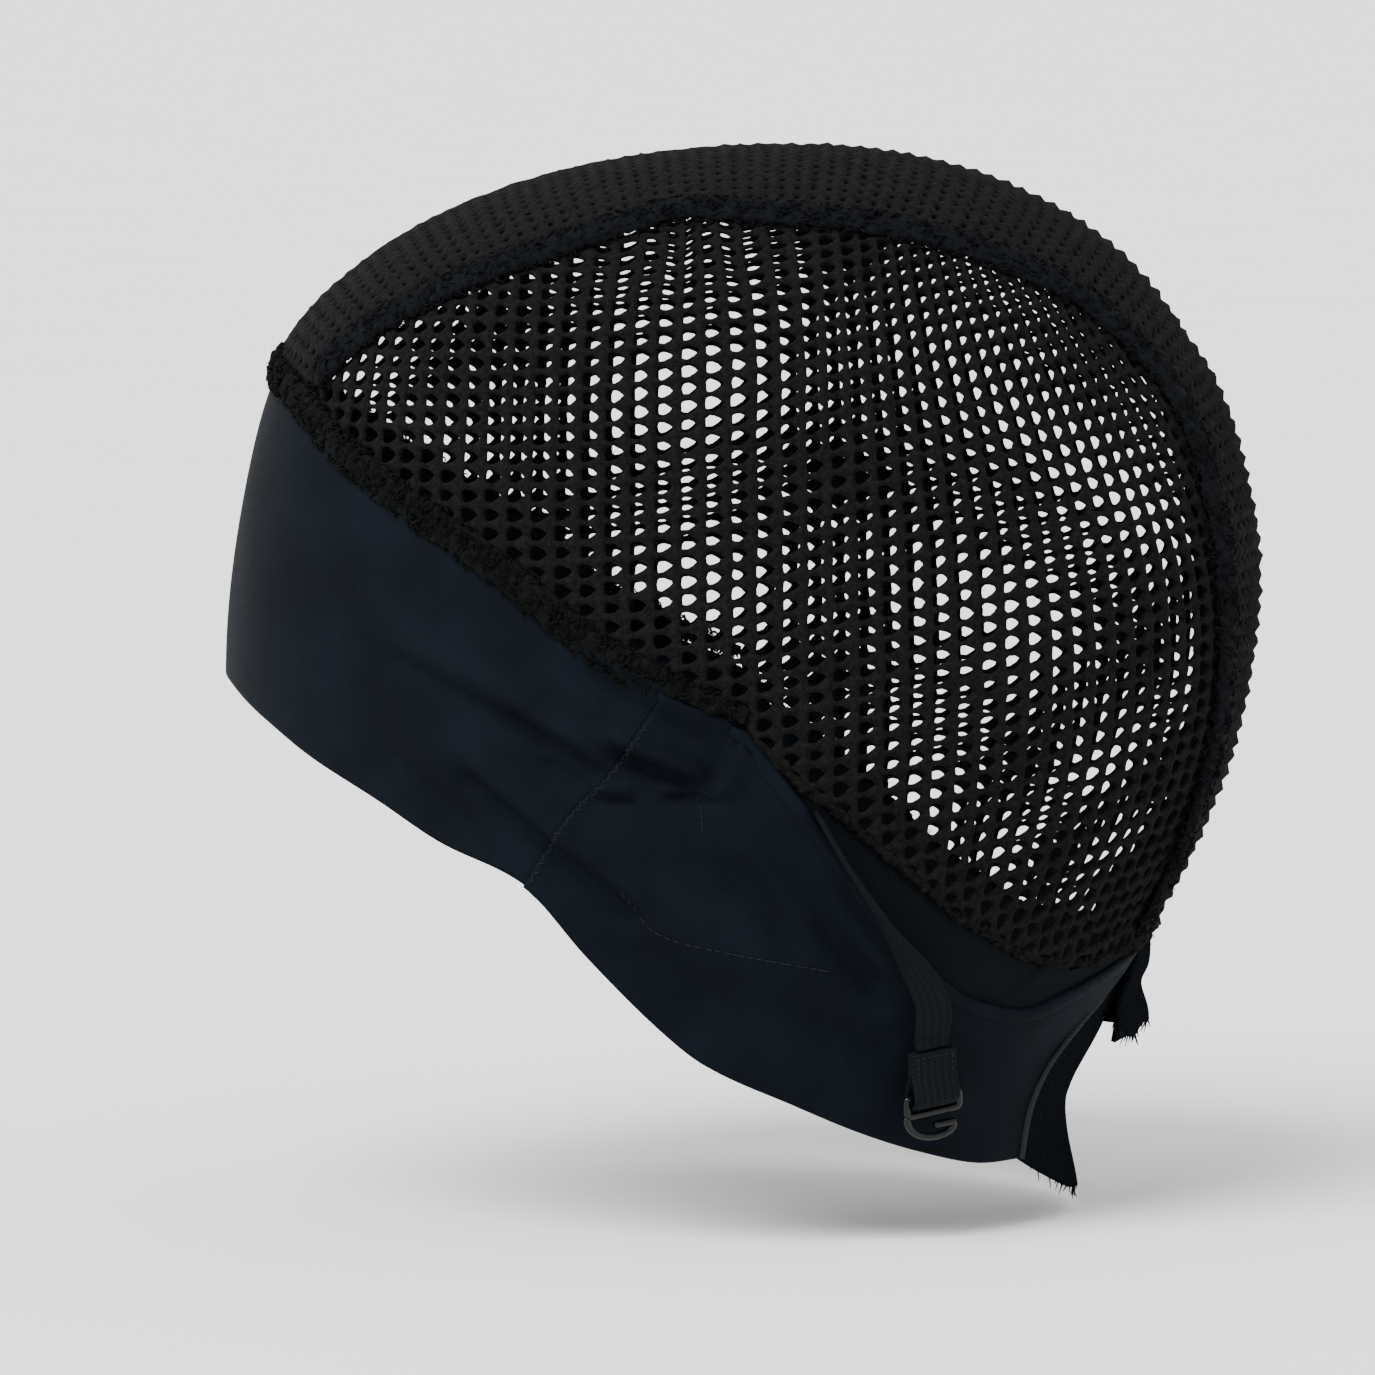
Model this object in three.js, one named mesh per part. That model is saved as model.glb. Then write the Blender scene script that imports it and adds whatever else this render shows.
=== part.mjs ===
import * as THREE from "three";

// A stretch wig cap, shaped as it is worn. Lengths are in millimetres and turns in degrees.
// X points to the wearer's left, Y to the back of the head and Z up.
// The origin is the inside of the crown, where the cap sits on the head.

// The hollow that the head fills.
const CAP_DROP = 190; // crown to the lower edge at the nape
const FRONT_REACH = 104; // crown to the forehead
const BACK_REACH = 86; // crown to the back of the head
const HALF_BREADTH = 75;
const SECTION_POWER = 2.25; // a level section is an ellipse at 2, and squarer above it

// The cloth.
const CLOTH_WALL = 1;
const LAYER_GAP = 0.35; // between cloths that lie on each other
const JOIN_GAP = 0.4; // between cloths that meet edge to edge
const SEAM_ALLOWANCE = 0.8; // from a net's edge to the line of its crown seam
const NAPE_ALLOWANCE = 1.4; // from a cloth's edge to the line of the nape seam
const TUCK = 2.4; // how far the band's top edge goes under the net's hem
const UNDERLAP = 4; // how far the under band goes behind the flap
const PANEL_TUCK = 1; // how far the side panel goes under the net's hem
const NET_OPEN_SHARE = 0.56; // width of a gap in the net, as a share of its cell
const NET_TAPER = 0.35; // how much narrower a gap is at its pointed end

// Trims that are sewn on the cloth.
const SEAM_WIDTH = 4.6;
const SEAM_HEIGHT = 2;
const HEM_WIDTH = 7;
const HEM_HEIGHT = 1.5;
const EDGE_WIDTH = 2;
const EDGE_HEIGHT = 1.7;
const PIPING_WIDTH = 1.5;
const PIPING_HEIGHT = 1.8;

// Straps, their sewn ends and hooks.
const STRAP_WIDTH = 9;
const STRAP_WALL = 1;
const FOLD_LENGTH = 11;
const HOOK_LENGTH = 9.5; // upper bar to the foot of the ring
const HOOK_BAR = 1.3;
const HOOK_WALL = 1.3;
const HOOK_MOUTH = 2.1; // height of the ring's opening, over its tongue
const HOOK_PLAY = 0.35; // round the strap in the slot, and round the bar in the fold

// Loose cloth at the nape.
const TAIL_FLARE = 3.2; // how far the tail's lower edge turns out
const TAIL_CURL = 4; // power of the curve in which it does
const FLAP_STANDOFF = 7; // outer face of the nape flap over the hollow, at its lower edge
const FLAP_SAG = 0.5; // share of that which its corners lose

// Level sections of the hollow: drop is a share of CAP_DROP, front of FRONT_REACH,
// back of BACK_REACH and side of HALF_BREADTH.
const LEVELS = [
  { drop: 0, front: 0, back: 0, side: 0 },
  { drop: 0.01, front: 0.26, back: 0.245, side: 0.28 },
  { drop: 0.03, front: 0.435, back: 0.415, side: 0.455 },
  { drop: 0.065, front: 0.61, back: 0.58, side: 0.63 },
  { drop: 0.11, front: 0.75, back: 0.715, side: 0.765 },
  { drop: 0.175, front: 0.875, back: 0.83, side: 0.88 },
  { drop: 0.24, front: 0.925, back: 0.918, side: 0.945 },
  { drop: 0.315, front: 0.96, back: 0.97, side: 0.985 },
  { drop: 0.4, front: 0.985, back: 1, side: 1 },
  { drop: 0.495, front: 1, back: 0.985, side: 1 },
  { drop: 0.59, front: 0.995, back: 0.94, side: 0.98 },
  { drop: 0.685, front: 0.97, back: 0.855, side: 0.945 },
  { drop: 0.79, front: 0.93, back: 0.73, side: 0.9 },
  { drop: 0.895, front: 0.885, back: 0.64, side: 0.855 },
  { drop: 1.02, front: 0.825, back: 0.565, side: 0.8 },
].map((row) => ({ ...row, root: Math.sqrt(row.drop) }));

// Crown seam: arc is the angle round the head from the forehead over the crown, and side the
// distance from the middle plane as a share of HALF_BREADTH.
const CROWN_SEAM = [
  { arc: 27, side: 0.455 },
  { arc: 38, side: 0.55 },
  { arc: 50, side: 0.61 },
  { arc: 64, side: 0.635 },
  { arc: 75, side: 0.61 },
  { arc: 81, side: 0.585 },
  { arc: 89, side: 0.605 },
  { arc: 102, side: 0.62 },
  { arc: 124, side: 0.6 },
  { arc: 140, side: 0.525 },
  { arc: 155, side: 0.49 },
  { arc: 175, side: 0.475 },
  { arc: 192, side: 0.41 },
  { arc: 205, side: 0.38 },
  { arc: 220, side: 0.33 },
];

// Edges that run round the head: turn is the heading from the forehead, through 90 at the ear to
// 180 at the nape, and drop is a share of CAP_DROP.
const HEM_LINE = [
  { turn: 0, drop: 0.221 },
  { turn: 17, drop: 0.239 },
  { turn: 26, drop: 0.264 },
  { turn: 34, drop: 0.297 },
  { turn: 45, drop: 0.343 },
  { turn: 58, drop: 0.403 },
  { turn: 70, drop: 0.472 },
  { turn: 80, drop: 0.508 },
  { turn: 90, drop: 0.535 },
];
const NET_EDGE = [
  { turn: 90, drop: 0.532 },
  { turn: 95, drop: 0.566 },
  { turn: 100, drop: 0.595 },
  { turn: 107, drop: 0.635 },
  { turn: 113, drop: 0.669 },
  { turn: 121, drop: 0.711 },
  { turn: 128, drop: 0.738 },
  { turn: 134, drop: 0.756 },
  { turn: 143, drop: 0.768 },
  { turn: 162, drop: 0.763 },
  { turn: 180, drop: 0.757 },
];
const FLAP_LINE = [
  { turn: 90, drop: 0.541 },
  { turn: 96, drop: 0.587 },
  { turn: 105, drop: 0.663 },
  { turn: 111, drop: 0.715 },
  { turn: 122, drop: 0.788 },
  { turn: 130, drop: 0.808 },
  { turn: 137, drop: 0.812 },
  { turn: 145, drop: 0.798 },
  { turn: 154, drop: 0.781 },
  { turn: 164, drop: 0.764 },
];
const LOWER_EDGE = [
  { turn: 0, drop: 0.506 },
  { turn: 12, drop: 0.516 },
  { turn: 23, drop: 0.543 },
  { turn: 32, drop: 0.576 },
  { turn: 41, drop: 0.61 },
  { turn: 49, drop: 0.647 },
  { turn: 60, drop: 0.687 },
  { turn: 68, drop: 0.754 },
  { turn: 77, drop: 0.817 },
  { turn: 85, drop: 0.858 },
  { turn: 100, drop: 0.899 },
  { turn: 111, drop: 0.926 },
  { turn: 122, drop: 0.947 },
  { turn: 135, drop: 0.964 },
  { turn: 147, drop: 0.966 },
];

// Upright seams, from their upper end down, in the same terms.
const SIDE_SEAM = [
  { drop: 0.508, turn: 79 },
  { drop: 0.578, turn: 72 },
  { drop: 0.614, turn: 67 },
  { drop: 0.642, turn: 64 },
  { drop: 0.687, turn: 60 },
];
const NAPE_SEAM = [
  { drop: 0.764, turn: 164 },
  { drop: 0.805, turn: 160.5 },
  { drop: 0.838, turn: 155 },
  { drop: 0.873, turn: 149 },
  { drop: 0.915, turn: 146.5 },
  { drop: 0.966, turn: 147 },
];

// Ends of pieces: turns for those that run round the head, arcs for those that run over the crown,
// and drops for those that hang down.
const CROWN_TRIM = { front: 33, back: 214 };
const EAR_TURN = 90; // where the flap's corner meets the net's hem
const UNDER_BAND = { front: 96, back: 159.5, taper: 0.12 };
const FLAP_TRIM = { front: 91.5, back: 162 };
const TAIL_DROP = 1.01; // lower edge of the nape panel at its middle
const NAPE_FLAP = { halfTurn: 14, top: 0.765, foot: 0.865, droop: 0.008 };

// Where the side panel rises over the under band, as shares of its length and height.
const PANEL_RISE = { front: 0.15, full: 0.24, foot: 0.66, top: 0.86 };

// How the side net fans out: each share of its length joins an arc of the crown seam to a turn of
// the net's lower edge.
const NET_FAN = [
  { share: 0, arc: 31, turn: 24 },
  { share: 0.2, arc: 62, turn: 57 },
  { share: 0.4, arc: 90, turn: 84 },
  { share: 0.6, arc: 119, turn: 107 },
  { share: 0.8, arc: 158, turn: 130 },
  { share: 1, arc: 212, turn: 156 },
];

// The strap's way down from the flap edge. Roll is 0 where it lies flat on the head and 90 where
// it stands on its edge. Climb is 0 where it rests on the under band and 1 where it clears the
// flap's edge, and slack is its distance from there as a share of STRAP_WIDTH.
const STRAP_ROUTE = [
  { share: 0, turn: 100.6, drop: 0.607, roll: 88, climb: 0, slack: 0 },
  { share: 0.25, turn: 105.4, drop: 0.658, roll: 88, climb: 0.7, slack: 0 },
  { share: 0.5, turn: 110.6, drop: 0.71, roll: 78, climb: 1, slack: 0 },
  { share: 0.66, turn: 114.6, drop: 0.75, roll: 50, climb: 1, slack: 0.03 },
  { share: 0.82, turn: 117.8, drop: 0.792, roll: 14, climb: 1, slack: 0.12 },
  { share: 1, turn: 118.4, drop: 0.836, roll: -6, climb: 1, slack: 0.2 },
];

// Half section of a rounded trim, as shares of its width and height.
const TRIM_SECTION = [
  { side: -0.5, rise: 0 },
  { side: -0.4, rise: 0.72 },
  { side: 0, rise: 1 },
  { side: 0.4, rise: 0.72 },
  { side: 0.5, rise: 0 },
];

const SMOOTH_CLOTH = { color: 0x141b26, roughness: 0.6 };
const NET_CLOTH = { color: 0x1f211f, roughness: 0.95 };
const SEAM_CLOTH = { color: 0x1d2025, roughness: 1 };
const ELASTIC = { color: 0x17191d, roughness: 0.85 };
const WEBBING = { color: 0x24262a, roughness: 0.8 };
const HOOK_FINISH = { color: 0x2e3032, roughness: 0.25, metalness: 0.3 };
const VELVET = { color: 0x0b0d10, roughness: 1 };
const PIPING_CLOTH = { color: 0x8d9094, roughness: 0.8 };

const { clamp, degToRad, lerp, radToDeg, smoothstep } = THREE.MathUtils;
const MIDDLE_Y = (BACK_REACH - FRONT_REACH) / 2;
const MIDDLE_DROP = 0.45; // of the centre that arcs turn about
const HEAD_CENTRE = new THREE.Vector3(0, MIDDLE_Y, -MIDDLE_DROP * CAP_DROP);
const FARTHEST = 2 * (CAP_DROP + FRONT_REACH + HALF_BREADTH);
const SECOND_LAYER = CLOTH_WALL + LAYER_GAP;
const DROP_GAP = JOIN_GAP / CAP_DROP;
const TURN_GAP = radToDeg(JOIN_GAP / HALF_BREADTH);
const NAPE_REACH = 0.6 * BACK_REACH; // from the middle to the nape seam
const NAPE_TURN_GAP = radToDeg(NAPE_ALLOWANCE / NAPE_REACH);

const HALVINGS = 40; // steps in the search for the head's surface
const SLOPE_SHARE = 0.01; // how far inside the head its slope is measured
const SLOPE_STEP = 0.05;
const ROUTE_STEP = 0.004; // share of a route over which its direction is measured

// A smooth curve through a table's rows.
function lookUp(rows, key, column, at) {
  const last = rows.length - 1;
  let i = 0;
  while (i < last - 1 && at > rows[i + 1][key]) i += 1;
  const slope = (k) => {
    const before = rows[Math.max(k - 1, 0)];
    const after = rows[Math.min(k + 1, last)];
    return (after[column] - before[column]) / (after[key] - before[key]);
  };
  const span = rows[i + 1][key] - rows[i][key];
  const t = clamp((at - rows[i][key]) / span, 0, 1);
  const [t2, t3] = [t * t, t * t * t];
  return (
    rows[i][column] * (2 * t3 - 3 * t2 + 1) +
    rows[i + 1][column] * (3 * t2 - 2 * t3) +
    span * (slope(i) * (t3 - 2 * t2 + t) + slope(i + 1) * (t3 - t2))
  );
}

// Under 1 inside the head, 1 on its surface.
function headMeasure(point) {
  if (point.z >= 0) return FARTHEST;
  const root = Math.sqrt(-point.z / CAP_DROP);
  const front = FRONT_REACH * lookUp(LEVELS, "root", "front", root);
  const back = BACK_REACH * lookUp(LEVELS, "root", "back", root);
  const side = HALF_BREADTH * lookUp(LEVELS, "root", "side", root);
  const along = Math.abs((2 * point.y - back + front) / (back + front));
  return along ** SECTION_POWER + Math.abs(point.x / side) ** SECTION_POWER;
}

// Where a ray from inside the head comes out.
function headPoint(from, direction) {
  let [near, far] = [0, FARTHEST];
  for (let i = 0; i < HALVINGS; i += 1) {
    const middle = (near + far) / 2;
    const inside = headMeasure(from.clone().addScaledVector(direction, middle)) < 1;
    if (inside) near = middle;
    else far = middle;
  }
  return from.clone().addScaledVector(direction, near);
}

// Measured a little inside the head, where the crown's tip has a slope too.
function headNormal(point) {
  const inner = point.clone().lerp(HEAD_CENTRE, SLOPE_SHARE);
  const slopes = [0, 1, 2].map((axis) => {
    const move = new THREE.Vector3().setComponent(axis, SLOPE_STEP);
    return headMeasure(inner.clone().add(move)) - headMeasure(inner.clone().sub(move));
  });
  return new THREE.Vector3(...slopes).normalize();
}

function atTurn(turn, drop) {
  const heading = degToRad(turn);
  const from = new THREE.Vector3(0, MIDDLE_Y, -drop * CAP_DROP);
  return headPoint(from, new THREE.Vector3(Math.sin(heading), -Math.cos(heading), 0));
}

function atArc(arc, x) {
  const angle = degToRad(arc);
  const from = HEAD_CENTRE.clone().setX(x);
  return headPoint(from, new THREE.Vector3(0, -Math.cos(angle), Math.sin(angle)));
}

// The arc at which the middle line of the head is as low as a drop, in front or behind.
function arcAtDrop(drop, turn) {
  const point = atTurn(turn, drop);
  const arc = radToDeg(Math.atan2(point.z - HEAD_CENTRE.z, HEAD_CENTRE.y - point.y));
  return arc < 0 ? arc + 360 : arc;
}

function seamOffset(arc) {
  return HALF_BREADTH * lookUp(CROWN_SEAM, "arc", "side", arc);
}

function edgeDrop(rows, turn) {
  return lookUp(rows, "turn", "drop", Math.abs(turn));
}

// A mesh geometry from points and three-point faces, with its faces turned outwards.
function solidGeometry(points, faces) {
  const volume = faces.reduce((sum, [a, b, c]) => {
    const normal = new THREE.Vector3().crossVectors(points[b], points[c]);
    return sum + points[a].dot(normal);
  }, 0);
  const outward = volume > 0 ? faces : faces.map(([a, b, c]) => [a, c, b]);
  const geometry = new THREE.BufferGeometry().setFromPoints(points);
  geometry.setIndex(outward.flat());
  geometry.computeVertexNormals();
  return geometry;
}

function quad(faces, a, b, c, d) {
  faces.push([a, b, c], [a, c, d]);
}

// Both skins of a cloth share one list: an even index is the inner skin's, the next the outer's.
function addPair(points, point, lift) {
  const normal = headNormal(point);
  points.push(point.clone().addScaledVector(normal, lift));
  points.push(point.clone().addScaledVector(normal, lift + CLOTH_WALL));
  return points.length - 2;
}

function addSkins(faces, ring, nextRing) {
  ring.forEach((a, k) => {
    const n = (k + 1) % ring.length;
    quad(faces, a + 1, ring[n] + 1, nextRing[n] + 1, nextRing[k] + 1);
    quad(faces, ring[n], a, nextRing[k], nextRing[n]);
  });
}

function addWall(faces, loop) {
  loop.forEach((a, k) => {
    const b = loop[(k + 1) % loop.length];
    quad(faces, a, b, b + 1, a + 1);
  });
}

// The nodes round the outside of a grid of columns by rows.
function gridLoop(columns, rows, node) {
  const loop = [];
  for (let i = 0; i < columns; i += 1) loop.push(node(i, 0));
  for (let j = 0; j < rows; j += 1) loop.push(node(columns, j));
  for (let i = columns; i > 0; i -= 1) loop.push(node(i, rows));
  for (let j = rows; j > 0; j -= 1) loop.push(node(0, j));
  return loop;
}

// A cloth with no gaps, over a grid of shares u and v.
function plainCloth({ columns, rows, place, lift = () => 0 }) {
  const [points, faces] = [[], []];
  const node = (i, j) => 2 * (i * (rows + 1) + j);
  for (let i = 0; i <= columns; i += 1)
    for (let j = 0; j <= rows; j += 1)
      addPair(points, place(i / columns, j / rows), lift(i / columns, j / rows));
  for (let i = 0; i < columns; i += 1)
    for (let j = 0; j < rows; j += 1) {
      const cell = [node(i, j), node(i + 1, j), node(i + 1, j + 1), node(i, j + 1)];
      quad(faces, cell[0] + 1, cell[1] + 1, cell[2] + 1, cell[3] + 1);
      quad(faces, cell[3], cell[2], cell[1], cell[0]);
    }
  addWall(faces, gridLoop(columns, rows, node));
  return solidGeometry(points, faces);
}

// A net: each cell of its grid has a teardrop gap, except where open says no.
function netCloth({ columns, rows, place, open }) {
  const [points, faces] = [[], []];
  const nodes = new Map();
  const node = (a, b) => {
    const key = a * (2 * rows + 1) + b;
    if (!nodes.has(key)) nodes.set(key, addPair(points, place(a / 2 / columns, b / 2 / rows), 0));
    return nodes.get(key);
  };
  const inCell = (i, j, du, dv) =>
    addPair(points, place((i + 0.5 + du / 2) / columns, (j + 0.5 + dv / 2) / rows), 0);
  for (let i = 0; i < columns; i += 1)
    for (let j = 0; j < rows; j += 1) {
      const ring = gridLoop(2, 2, (a, b) => node(2 * i + a, 2 * j + b));
      if (open(i, j)) {
        const gap = ring.map((_, k) => {
          const angle = Math.atan2(-1, -1) + (2 * Math.PI * k) / ring.length;
          const [across, up] = [Math.cos(angle), Math.sin(angle)];
          const narrowed = NET_OPEN_SHARE * (1 - NET_TAPER * across);
          return inCell(i, j, NET_OPEN_SHARE * across, narrowed * up);
        });
        addSkins(faces, ring, gap);
        addWall(faces, gap.reverse());
      } else {
        const middle = inCell(i, j, 0, 0);
        ring.forEach((a, k) => {
          const b = ring[(k + 1) % ring.length];
          faces.push([a + 1, b + 1, middle + 1], [b, a, middle]);
        });
      }
    }
  addWall(faces, gridLoop(2 * columns, 2 * rows, node));
  return solidGeometry(points, faces);
}

// A closed bar: station(t) gives the section's points, in order, at each share t of its length.
function barGeometry(steps, station) {
  const points = [];
  const faces = [];
  for (let i = 0; i <= steps; i += 1) points.push(...station(i / steps));
  const sides = points.length / (steps + 1);
  for (let i = 0; i < steps; i += 1)
    for (let k = 0; k < sides; k += 1) {
      const n = (k + 1) % sides;
      quad(faces, i * sides + k, i * sides + n, (i + 1) * sides + n, (i + 1) * sides + k);
    }
  const end = steps * sides;
  for (let k = 1; k < sides - 1; k += 1) faces.push([0, k + 1, k], [end, end + k, end + k + 1]);
  return solidGeometry(points, faces);
}

// Directions at a share of a route on the head: along it, out of the head and across it.
function routeFrame(route, t) {
  const point = route(t);
  const before = route(Math.max(t - ROUTE_STEP, 0));
  const along = route(Math.min(t + ROUTE_STEP, 1)).sub(before).normalize();
  const out = headNormal(point);
  const across = new THREE.Vector3().crossVectors(along, out).normalize();
  return { point, along, out, across };
}

// A rounded trim on top of the cloth.
function trimGeometry({ steps, route, width, height, base }) {
  return barGeometry(steps, (t) => {
    const { point, out, across } = routeFrame(route, t);
    return TRIM_SECTION.map(({ side, rise }) =>
      point
        .clone()
        .addScaledVector(across, side * width)
        .addScaledVector(out, base + rise * height),
    );
  });
}

// The centre strip runs from the front band to the nape panel.
const STRIP_FRONT = arcAtDrop(HEM_LINE[0].drop - TUCK / CAP_DROP - DROP_GAP, 0);
const STRIP_BACK = arcAtDrop(NET_EDGE.at(-1).drop - DROP_GAP, 180);

// Places of the cloths, each by shares u and v of its own two directions.
function centrePlace(u, v) {
  const arc = lerp(STRIP_FRONT, STRIP_BACK, u);
  return atArc(arc, (2 * v - 1) * (seamOffset(arc) - SEAM_ALLOWANCE));
}

function netLowerPoint(turn) {
  if (turn > EAR_TURN) return atTurn(turn, edgeDrop(NET_EDGE, turn) - DROP_GAP);
  return atTurn(turn, edgeDrop(HEM_LINE, turn) - TUCK / CAP_DROP - DROP_GAP);
}

function sideNetPlace(u, v) {
  const arc = lookUp(NET_FAN, "share", "arc", u);
  const low = netLowerPoint(lookUp(NET_FAN, "share", "turn", u));
  const high = atArc(arc, seamOffset(arc) + SEAM_ALLOWANCE);
  const chord = low.lerp(high, v);
  return headPoint(HEAD_CENTRE, chord.sub(HEAD_CENTRE).normalize());
}

function seamTurn(rows, drop) {
  return lookUp(rows, "drop", "turn", drop);
}

function bandPlace(u, v) {
  const side = 2 * u - 1;
  const drop = (share) => {
    const low = edgeDrop(LOWER_EDGE, share * SIDE_SEAM.at(-1).turn);
    return lerp(low, edgeDrop(HEM_LINE, share * SIDE_SEAM[0].turn) - TUCK / CAP_DROP, v);
  };
  return atTurn(side * (seamTurn(SIDE_SEAM, drop(1)) - TURN_GAP / 2), drop(side));
}

const SIDE_COLUMNS = 10;

// The side panel's columns bunch so that one of them meets the flap's corner at the ear.
const CORNER_COLUMN = 2;
const PANEL_COLUMNS = 12;
function panelShare(u) {
  const corner = (EAR_TURN - SIDE_SEAM[0].turn) / (NAPE_SEAM[0].turn - SIDE_SEAM[0].turn);
  const column = CORNER_COLUMN / PANEL_COLUMNS;
  return u < column ? (corner * u) / column : lerp(corner, 1, (u - column) / (1 - column));
}

function panelTopDrop(turn) {
  const beforeCorner = turn < EAR_TURN - TURN_GAP;
  if (beforeCorner) return edgeDrop(HEM_LINE, turn) - PANEL_TUCK / CAP_DROP;
  return edgeDrop(FLAP_LINE, turn) + EDGE_WIDTH / CAP_DROP + DROP_GAP;
}

function panelPlace(u, v) {
  const drop = (share) => {
    const low = lerp(SIDE_SEAM.at(-1).turn, NAPE_SEAM.at(-1).turn, share);
    const high = lerp(SIDE_SEAM[0].turn, NAPE_SEAM[0].turn, share);
    return lerp(edgeDrop(LOWER_EDGE, low), panelTopDrop(high), v);
  };
  const front = seamTurn(SIDE_SEAM, drop(0)) + TURN_GAP / 2;
  const back = seamTurn(NAPE_SEAM, drop(1)) - NAPE_TURN_GAP;
  const share = panelShare(u);
  return atTurn(lerp(front, back, share), drop(share));
}

// The flap rises over the under band behind the ear.
function panelLift(u, v) {
  const { front, full, foot, top } = PANEL_RISE;
  return SECOND_LAYER * smoothstep(u, front, full) * smoothstep(v, foot, top);
}

function underBandPlace(u, v) {
  const turn = lerp(UNDER_BAND.front, UNDER_BAND.back, u);
  const underlap = UNDERLAP * smoothstep(u, 0, UNDER_BAND.taper);
  const low = edgeDrop(FLAP_LINE, turn) + underlap / CAP_DROP;
  return atTurn(turn, lerp(low, edgeDrop(NET_EDGE, turn), v));
}

function napePlace(u, v) {
  const side = 2 * u - 1;
  const drop = (share) => {
    const low = lerp(TAIL_DROP, LOWER_EDGE.at(-1).drop, share * share);
    return lerp(low, NET_EDGE.at(-1).drop + DROP_GAP, v);
  };
  const seam = seamTurn(NAPE_SEAM, drop(1)) + NAPE_TURN_GAP;
  return atTurn(180 + side * (180 - seam), drop(side));
}

// The tail turns out towards its lower edge.
function napeLift(u, v) {
  return TAIL_FLARE * (1 - v) ** TAIL_CURL;
}

function napeFlapPlace(u, v) {
  const side = 2 * u - 1;
  const { halfTurn, top, foot, droop } = NAPE_FLAP;
  return atTurn(180 + halfTurn * side, lerp(foot + droop * side * side, top, v));
}

function napeFlapLift(u, v) {
  const side = 2 * u - 1;
  const standoff = FLAP_STANDOFF - CLOTH_WALL - SECOND_LAYER;
  return SECOND_LAYER + standoff * (1 - v) * (1 - FLAP_SAG * side * side);
}

// Routes of the trims.
function seamRoute(t) {
  const arc = lerp(CROWN_TRIM.front, CROWN_TRIM.back, t);
  return atArc(arc, seamOffset(arc));
}

function hemRoute(t) {
  const turn = lerp(-EAR_TURN, EAR_TURN, t);
  return atTurn(turn, edgeDrop(HEM_LINE, turn) - HEM_WIDTH / 2 / CAP_DROP);
}

function flapEdgeRoute(t) {
  const turn = lerp(FLAP_TRIM.front, FLAP_TRIM.back, t);
  return atTurn(turn, edgeDrop(FLAP_LINE, turn) + EDGE_WIDTH / 4 / CAP_DROP);
}

function pipingRoute(t) {
  const drop = lerp(NAPE_SEAM[0].drop + 2 * DROP_GAP, NAPE_SEAM.at(-1).drop, t);
  return atTurn(seamTurn(NAPE_SEAM, drop), drop);
}

function strapRoute(t) {
  const turn = lookUp(STRAP_ROUTE, "share", "turn", t);
  return atTurn(turn, lookUp(STRAP_ROUTE, "share", "drop", t));
}

// The strap's centre, with its directions down, across and out, rolled about its length.
function strapFrame(t) {
  const { point, along, out, across } = routeFrame(strapRoute, t);
  const roll = degToRad(lookUp(STRAP_ROUTE, "share", "roll", t));
  const climb = lookUp(STRAP_ROUTE, "share", "climb", t) * (EDGE_HEIGHT + LAYER_GAP);
  const slack = lookUp(STRAP_ROUTE, "share", "slack", t) * STRAP_WIDTH;
  const half = (STRAP_WALL * Math.cos(roll) + STRAP_WIDTH * Math.abs(Math.sin(roll))) / 2;
  return {
    centre: point.addScaledVector(out, SECOND_LAYER + climb + slack + half),
    along,
    across: across.applyAxisAngle(along, roll),
    out: out.clone().applyAxisAngle(along, roll),
  };
}

function strapGeometry() {
  return barGeometry(14, (t) => {
    const { centre, across, out } = strapFrame(t);
    const corner = (side, rise) =>
      centre
        .clone()
        .addScaledVector(across, side * STRAP_WIDTH)
        .addScaledVector(out, rise * STRAP_WALL);
    return [corner(-0.5, -0.5), corner(0.5, -0.5), corner(0.5, 0.5), corner(-0.5, 0.5)];
  });
}

// The strap's end is doubled round the hook's upper bar. Drawn with X across the strap, Y up it
// and Z out of it, with its upper edge at 0.
const EYE_RADIUS = Math.hypot(HOOK_BAR, HOOK_WALL) / 2 + HOOK_PLAY;
const EYE_HEIGHT = -FOLD_LENGTH + STRAP_WALL + EYE_RADIUS;
function foldGeometry() {
  const outer = EYE_RADIUS + STRAP_WALL;
  const outline = new THREE.Shape();
  outline.moveTo(STRAP_WALL, 0);
  outline.lineTo(-STRAP_WALL, 0);
  outline.lineTo(-STRAP_WALL, EYE_HEIGHT + 2 * outer);
  outline.lineTo(-outer, EYE_HEIGHT);
  outline.absarc(0, EYE_HEIGHT, outer, Math.PI, 2 * Math.PI, false);
  outline.lineTo(STRAP_WALL, EYE_HEIGHT + 2 * outer);
  const eye = new THREE.Path().absarc(0, EYE_HEIGHT, EYE_RADIUS, 0, 2 * Math.PI, true);
  outline.holes.push(eye);
  const options = { depth: STRAP_WIDTH, bevelEnabled: false, curveSegments: 5 };
  const geometry = new THREE.ExtrudeGeometry(outline, options);
  return geometry.translate(0, 0, -STRAP_WIDTH / 2).rotateY(Math.PI / 2);
}

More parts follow.
